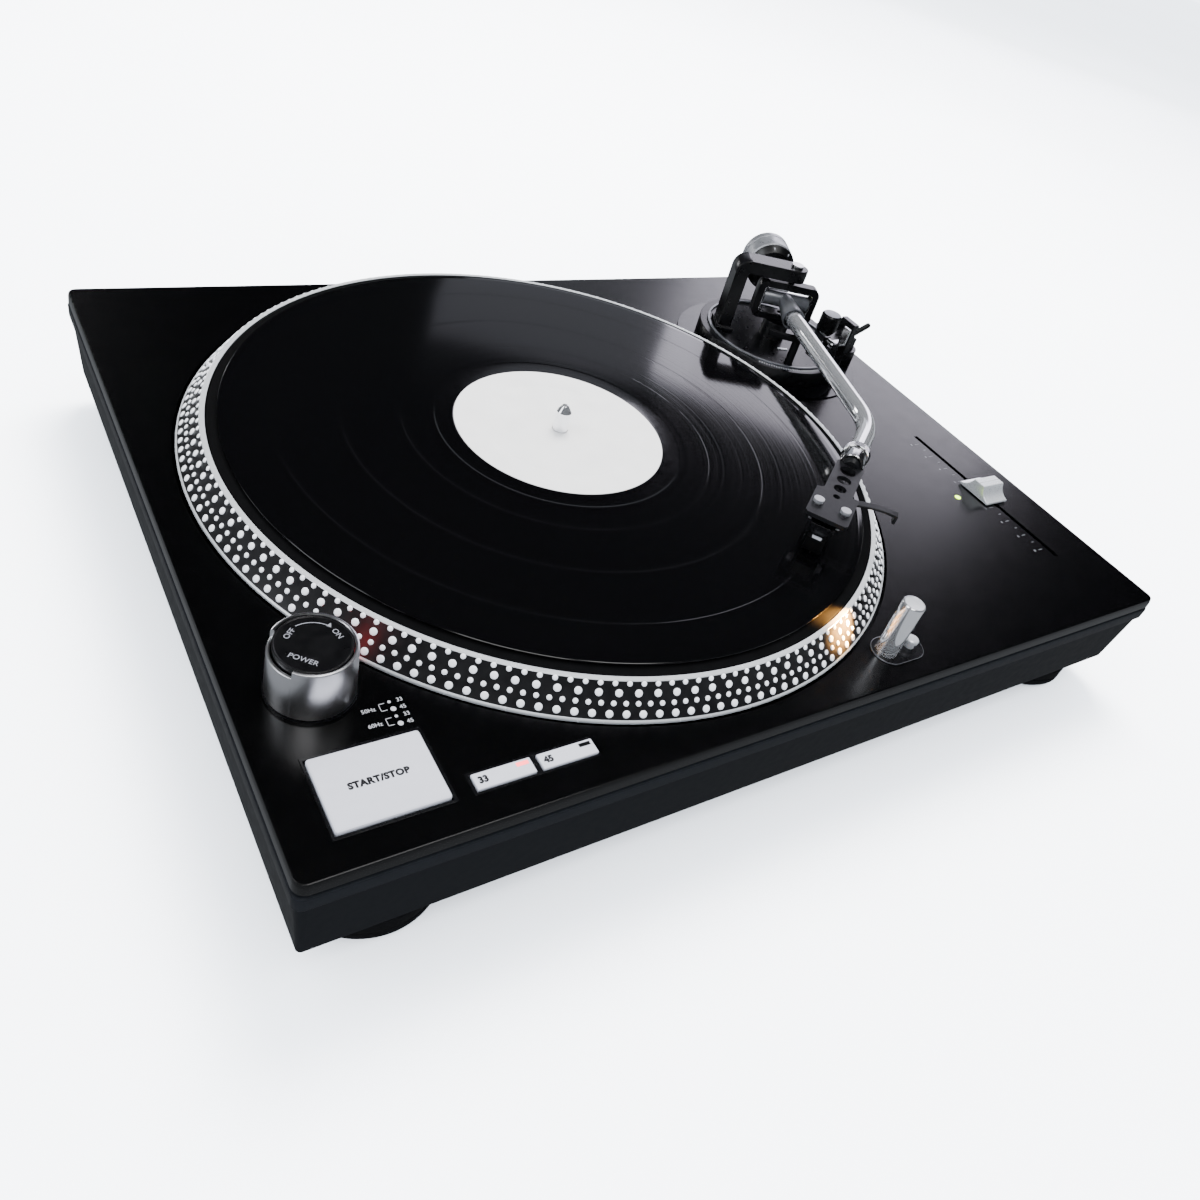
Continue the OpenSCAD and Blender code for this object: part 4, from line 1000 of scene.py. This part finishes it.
pin_y, pin_z, pin_step = 31.5, 84, 1.3
pins = []
for x in (-3.0, -1.1, 1.1, 3.0):
    bm = lathe_mesh(fillet([(0, 0), (0.45, 0), (0.45, 5, 0.2), (0, 5)]), 20)
    z = pin_z + (pin_step if abs(x) < 2 else -pin_step)
    pins.append(moved(bm, along(Matrix.Translation((x, 0, 0)), pin_y, z, toward=-1)))
place("cartridge_pins", joined(pins), "tonearm", "cartridge_black", gold, SHELL_M)
patch = prism_mesh([(-2.3, 53.9), (2.3, 53.9), (2.0, 56.2), (-2.0, 56.2)], 84.0, 84.12)
place("stylus_patch", patch, "tonearm", "cartridge_black", print_white, SHELL_M, bevel=0.03)

weight_m = along(ARM_M, -66, ARM_Z)
weight = lathe("rear_weight", None, [
    (5.6, 0), (13.6, 0, 0.5), (15.3, 1.4, 0.6), (15.3, 6.2, 0.2), (14.9, 6.5, 0.1), (14.9, 7.1, 0.1),
    (15.3, 7.4, 0.2), (15.3, 18.4, 0.5), (14.4, 19.3, 0.3), (5.6, 19.3)],
    "counterweight", "weight_grey", weight_grey, segs=128, matrix=weight_m, sharp=30)
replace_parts(weight, "counterweight")
dial_m = along(ARM_M, -46.2, ARM_Z)
dial = lathe("force_dial", None, [
    (5.9, 0), (15.0, 0, 0.2), (15.0, 0.9, 0.3), (11.7, 4.7, 0.4), (10.6, 4.7, 0.2), (10.2, 3.9), (5.9, 3.9)],
    "weight_dial", "arm_black", cap_black, segs=128, matrix=dial_m, sharp=30)
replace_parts(dial, "weight_dial")
cone = math.atan2(3.3, 3.8)
dial_from = 11
for k in range(8):
    m = dial_m @ spun(45.0 * k + dial_from) @ Matrix.Translation((13.42, 0, 2.85))
    m = m @ Matrix.Rotation(math.pi / 2 - cone, 4, "Y") @ spun(90)
    writing(f"dial_number_{k}", str(k), 2.3, m, "weight_dial", "arm_black", print_white)
ticks = []
for k in range(48):
    a = math.radians(7.5 * k + dial_from)
    bm = box_mesh(-0.09, 14.98, 0.15, 0.09, 15.05, 0.8)
    bmesh.ops.rotate(bm, matrix=Matrix.Rotation(a, 3, "Z"), verts=bm.verts)
    ticks.append(bm)
place("dial_ticks", joined(ticks), "weight_dial", "arm_black", print_white, dial_m)

# Bright lip round the gimbal window
lip_z = (lo("gimbal_ring").z + hi("gimbal_ring").z) / 2


def rect_frame(w, d, t, r, y0, y1, at_z):
    """A rounded rectangular frame that stands upright, t wide and from y0 to y1 deep."""
    outer = round_rect(w, d, r)
    inner = round_rect(w - 2 * t, d - 2 * t, max(0.3, r - t))
    bm = bmesh.new()
    rows = []
    for loop, y in ((inner, y0), (outer, y0), (outer, y1), (inner, y1)):
        rows.append([bm.verts.new((x, y, at_z + z)) for x, z, _ in loop])
    for i in range(4):
        bridge(bm, rows[i], rows[(i + 1) % 4])
    return bm


place("gimbal_lip", rect_frame(30.6, 16.2, 0.75, 2.4, 3.2, 3.62, lip_z), "gimbal", "arm_black",
      steel_bright, ARM_M, bevel=0.1)

# Dashes round the front of the arm base, and its index bar
plate_top = DECK_Z + 10
dash_r, clear_r = 44.6, 169.8
dashes = []
for k in range(56):
    a = math.radians(186 + 2.0 * k)
    dash_at = Vector((ARM.x + dash_r * math.cos(a), ARM.y + dash_r * math.sin(a)))
    if (dash_at - Vector((PLATTER.x, PLATTER.y))).length < clear_r:
        continue
    bm = box_mesh(42.1, -0.27, plate_top - 0.05, 43.9, 0.27, plate_top + 0.12)
    bmesh.ops.rotate(bm, matrix=Matrix.Rotation(a, 3, "Z"), verts=bm.verts)
    dashes.append(bm)
place("arm_base_scale", joined(dashes), "plinth", "arm_black", print_white, at_xy(ARM))
index_m = Matrix.Translation((149.7, 63.4, 0)) @ spun(-18)
place("index_bar", box_mesh(-3.2, -0.9, plate_top - 0.05, 3.2, 0.9, plate_top + 0.5), "plinth", "arm_black",
      satin_alloy, index_m, bevel=0.2)

ear = mid("anti_skate_knob")
ear_lo, ear_hi = lo("anti_skate_knob").z, hi("anti_skate_knob").z
ear_r = hi("anti_skate_knob").x - ear.x
skate = lathe("skate_knob", ear, [
    (0, ear_lo), (ear_r - 0.3, ear_lo, 0.2), (ear_r, ear_lo + 0.6, 0.3), (ear_r, ear_hi - 1.1, 0.5),
    (ear_r - 0.6, ear_hi - 0.5, 0.3), (ear_r - 1.0, ear_hi, 0.2), (0, ear_hi)],
    "anti_skate", "control_black", [gloss_black, pivot_grey], segs=72,
    mat_of=lambda a, b: 1 if min(a[1], b[1]) > ear_hi - 0.3 else 0, sharp=30)
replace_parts(skate, "anti_skate_knob")

# ---- Studio ----

def dim_in_gloss(nt, plain, dimmed, output):
    """Glossy surfaces see the dimmed shader, and everything else sees the plain one."""
    rays = nt.nodes.new("ShaderNodeLightPath")
    mix = nt.nodes.new("ShaderNodeMixShader")
    link(nt, rays.outputs["Is Glossy Ray"], mix.inputs["Fac"])
    link(nt, plain, mix.inputs[1])
    link(nt, dimmed, mix.inputs[2])
    link(nt, mix.outputs["Shader"], nt.nodes[output].inputs["Surface"])


floor_bm = bmesh.new()
bmesh.ops.create_grid(floor_bm, x_segments=2, y_segments=2, size=6000)
floor_mat = material("floor_paper", (0.93, 0.94, 0.96), rough=0.75, tint=0.01, scale=2.0, bump=0.02,
                     bump_scale=60, specular=0.1)
floor_nodes = floor_mat.node_tree
seen = floor_nodes.nodes.new("ShaderNodeEmission")
seen.inputs["Color"].default_value = (0.88, 0.93, 1.0, 1)
seen.inputs["Strength"].default_value = 0.4
dim_in_gloss(floor_nodes, floor_nodes.nodes["Principled BSDF"].outputs["BSDF"], seen.outputs["Emission"],
             "Material Output")
floor = place("floor", floor_bm, None, None, floor_mat)

world = bpy.data.worlds.new("studio")
bpy.context.scene.world = world
world.use_nodes = True
wn = world.node_tree
backdrop = wn.nodes["Background"]
backdrop.inputs["Color"].default_value = (0.86, 0.92, 1.0, 1)
backdrop.inputs["Strength"].default_value = 4.8
dim = wn.nodes.new("ShaderNodeBackground")
dim.inputs["Color"].default_value = (0.8, 0.85, 1.0, 1)
dim.inputs["Strength"].default_value = 0.012
dim_in_gloss(wn, backdrop.outputs["Background"], dim.outputs["Background"], "World Output")


def softbox(name, at, target, w, h, power, colour=(1, 1, 1)):
    """A rectangular lamp, with its place and size in metres."""
    data = bpy.data.lights.new(name, "AREA")
    data.shape = "RECTANGLE"
    data.size, data.size_y = w, h
    data.energy = power
    data.color = colour
    ob = bpy.data.objects.new(name, data)
    bpy.context.scene.collection.objects.link(ob)
    ob.location = at
    ob.rotation_euler = (Vector(target) - Vector(at)).to_track_quat("-Z", "Y").to_euler()
    return ob


def polar(az, el, dist):
    a, e = math.radians(az), math.radians(el)
    return (dist * math.cos(e) * math.cos(a), dist * math.cos(e) * math.sin(a), dist * math.sin(e))


softbox("back_right_box", polar(36, 17.5, 2.4), (0, 0, 0.06), 1.0, 0.95, 12, (0.9, 0.87, 1.0))
softbox("back_dim_box", polar(56, 18, 2.4), (0, 0, 0.06), 0.75, 0.95, 1.1, (0.85, 0.88, 1.0))
softbox("left_box", polar(170, 38, 1.9), (0, 0, 0.05), 0.7, 1.3, 15, (0.93, 0.96, 1.0))
softbox("top_box", (0.25, -0.35, 2.0), (0, 0, 0.05), 1.2, 0.35, 10)
softbox("front_box", polar(-125, 56, 1.8), (0, 0, 0.07), 0.85, 0.5, 10)
softbox("left_back_box", polar(99, 11, 2.0), (0, 0, 0.07), 0.28, 0.45, 4.5)
fill = softbox("fill_box", (0.55, 0.8, 1.7), (0, 0, 0), 1.0, 1.0, 180, (1.0, 0.985, 0.965))
fill.visible_glossy = False

beam = bpy.data.lights.new("lamp_beam", "SPOT")
beam.energy = 9.0
beam.color = (1.0, 0.46, 0.1)
beam.spot_size = math.radians(46)
beam.spot_blend = 0.7
beam.shadow_soft_size = 0.0015
beam_ob = bpy.data.objects.new("lamp_beam", beam)
bpy.context.scene.collection.objects.link(beam_ob)
ray = Vector((math.cos(math.radians(toward)), math.sin(math.radians(toward)), 0))
beam_ob.location = (Vector((LAMP.x, LAMP.y, lamp_top - 6.9)) + ray * 5.6) * MM
glow, glow_r = math.radians(-68), 160
glow_at = Vector((PLATTER.x + glow_r * math.cos(glow), PLATTER.y + glow_r * math.sin(glow), DECK_Z + 9)) * MM
beam_ob.rotation_euler = (glow_at - beam_ob.location).to_track_quat("-Z", "Y").to_euler()
beam_ob.parent = lamp_post

# ---- Camera ----

right = Vector((0.83682, -0.49283, 0.23842))
up = Vector((0.18506, 0.66449, 0.72402))
ahead = Vector((0.51525, 0.56176, -0.64726))
cam_data = bpy.data.cameras.new("camera")
cam_data.lens = 29.258
cam_data.sensor_width = 36.0
cam = bpy.data.objects.new("camera", cam_data)
bpy.context.scene.collection.objects.link(cam)
turn = Matrix((right, up, -ahead)).transposed().to_4x4()
cam.matrix_world = Matrix.Translation((-0.27715, -0.31675, 0.31713)) @ turn
bpy.context.scene.camera = cam
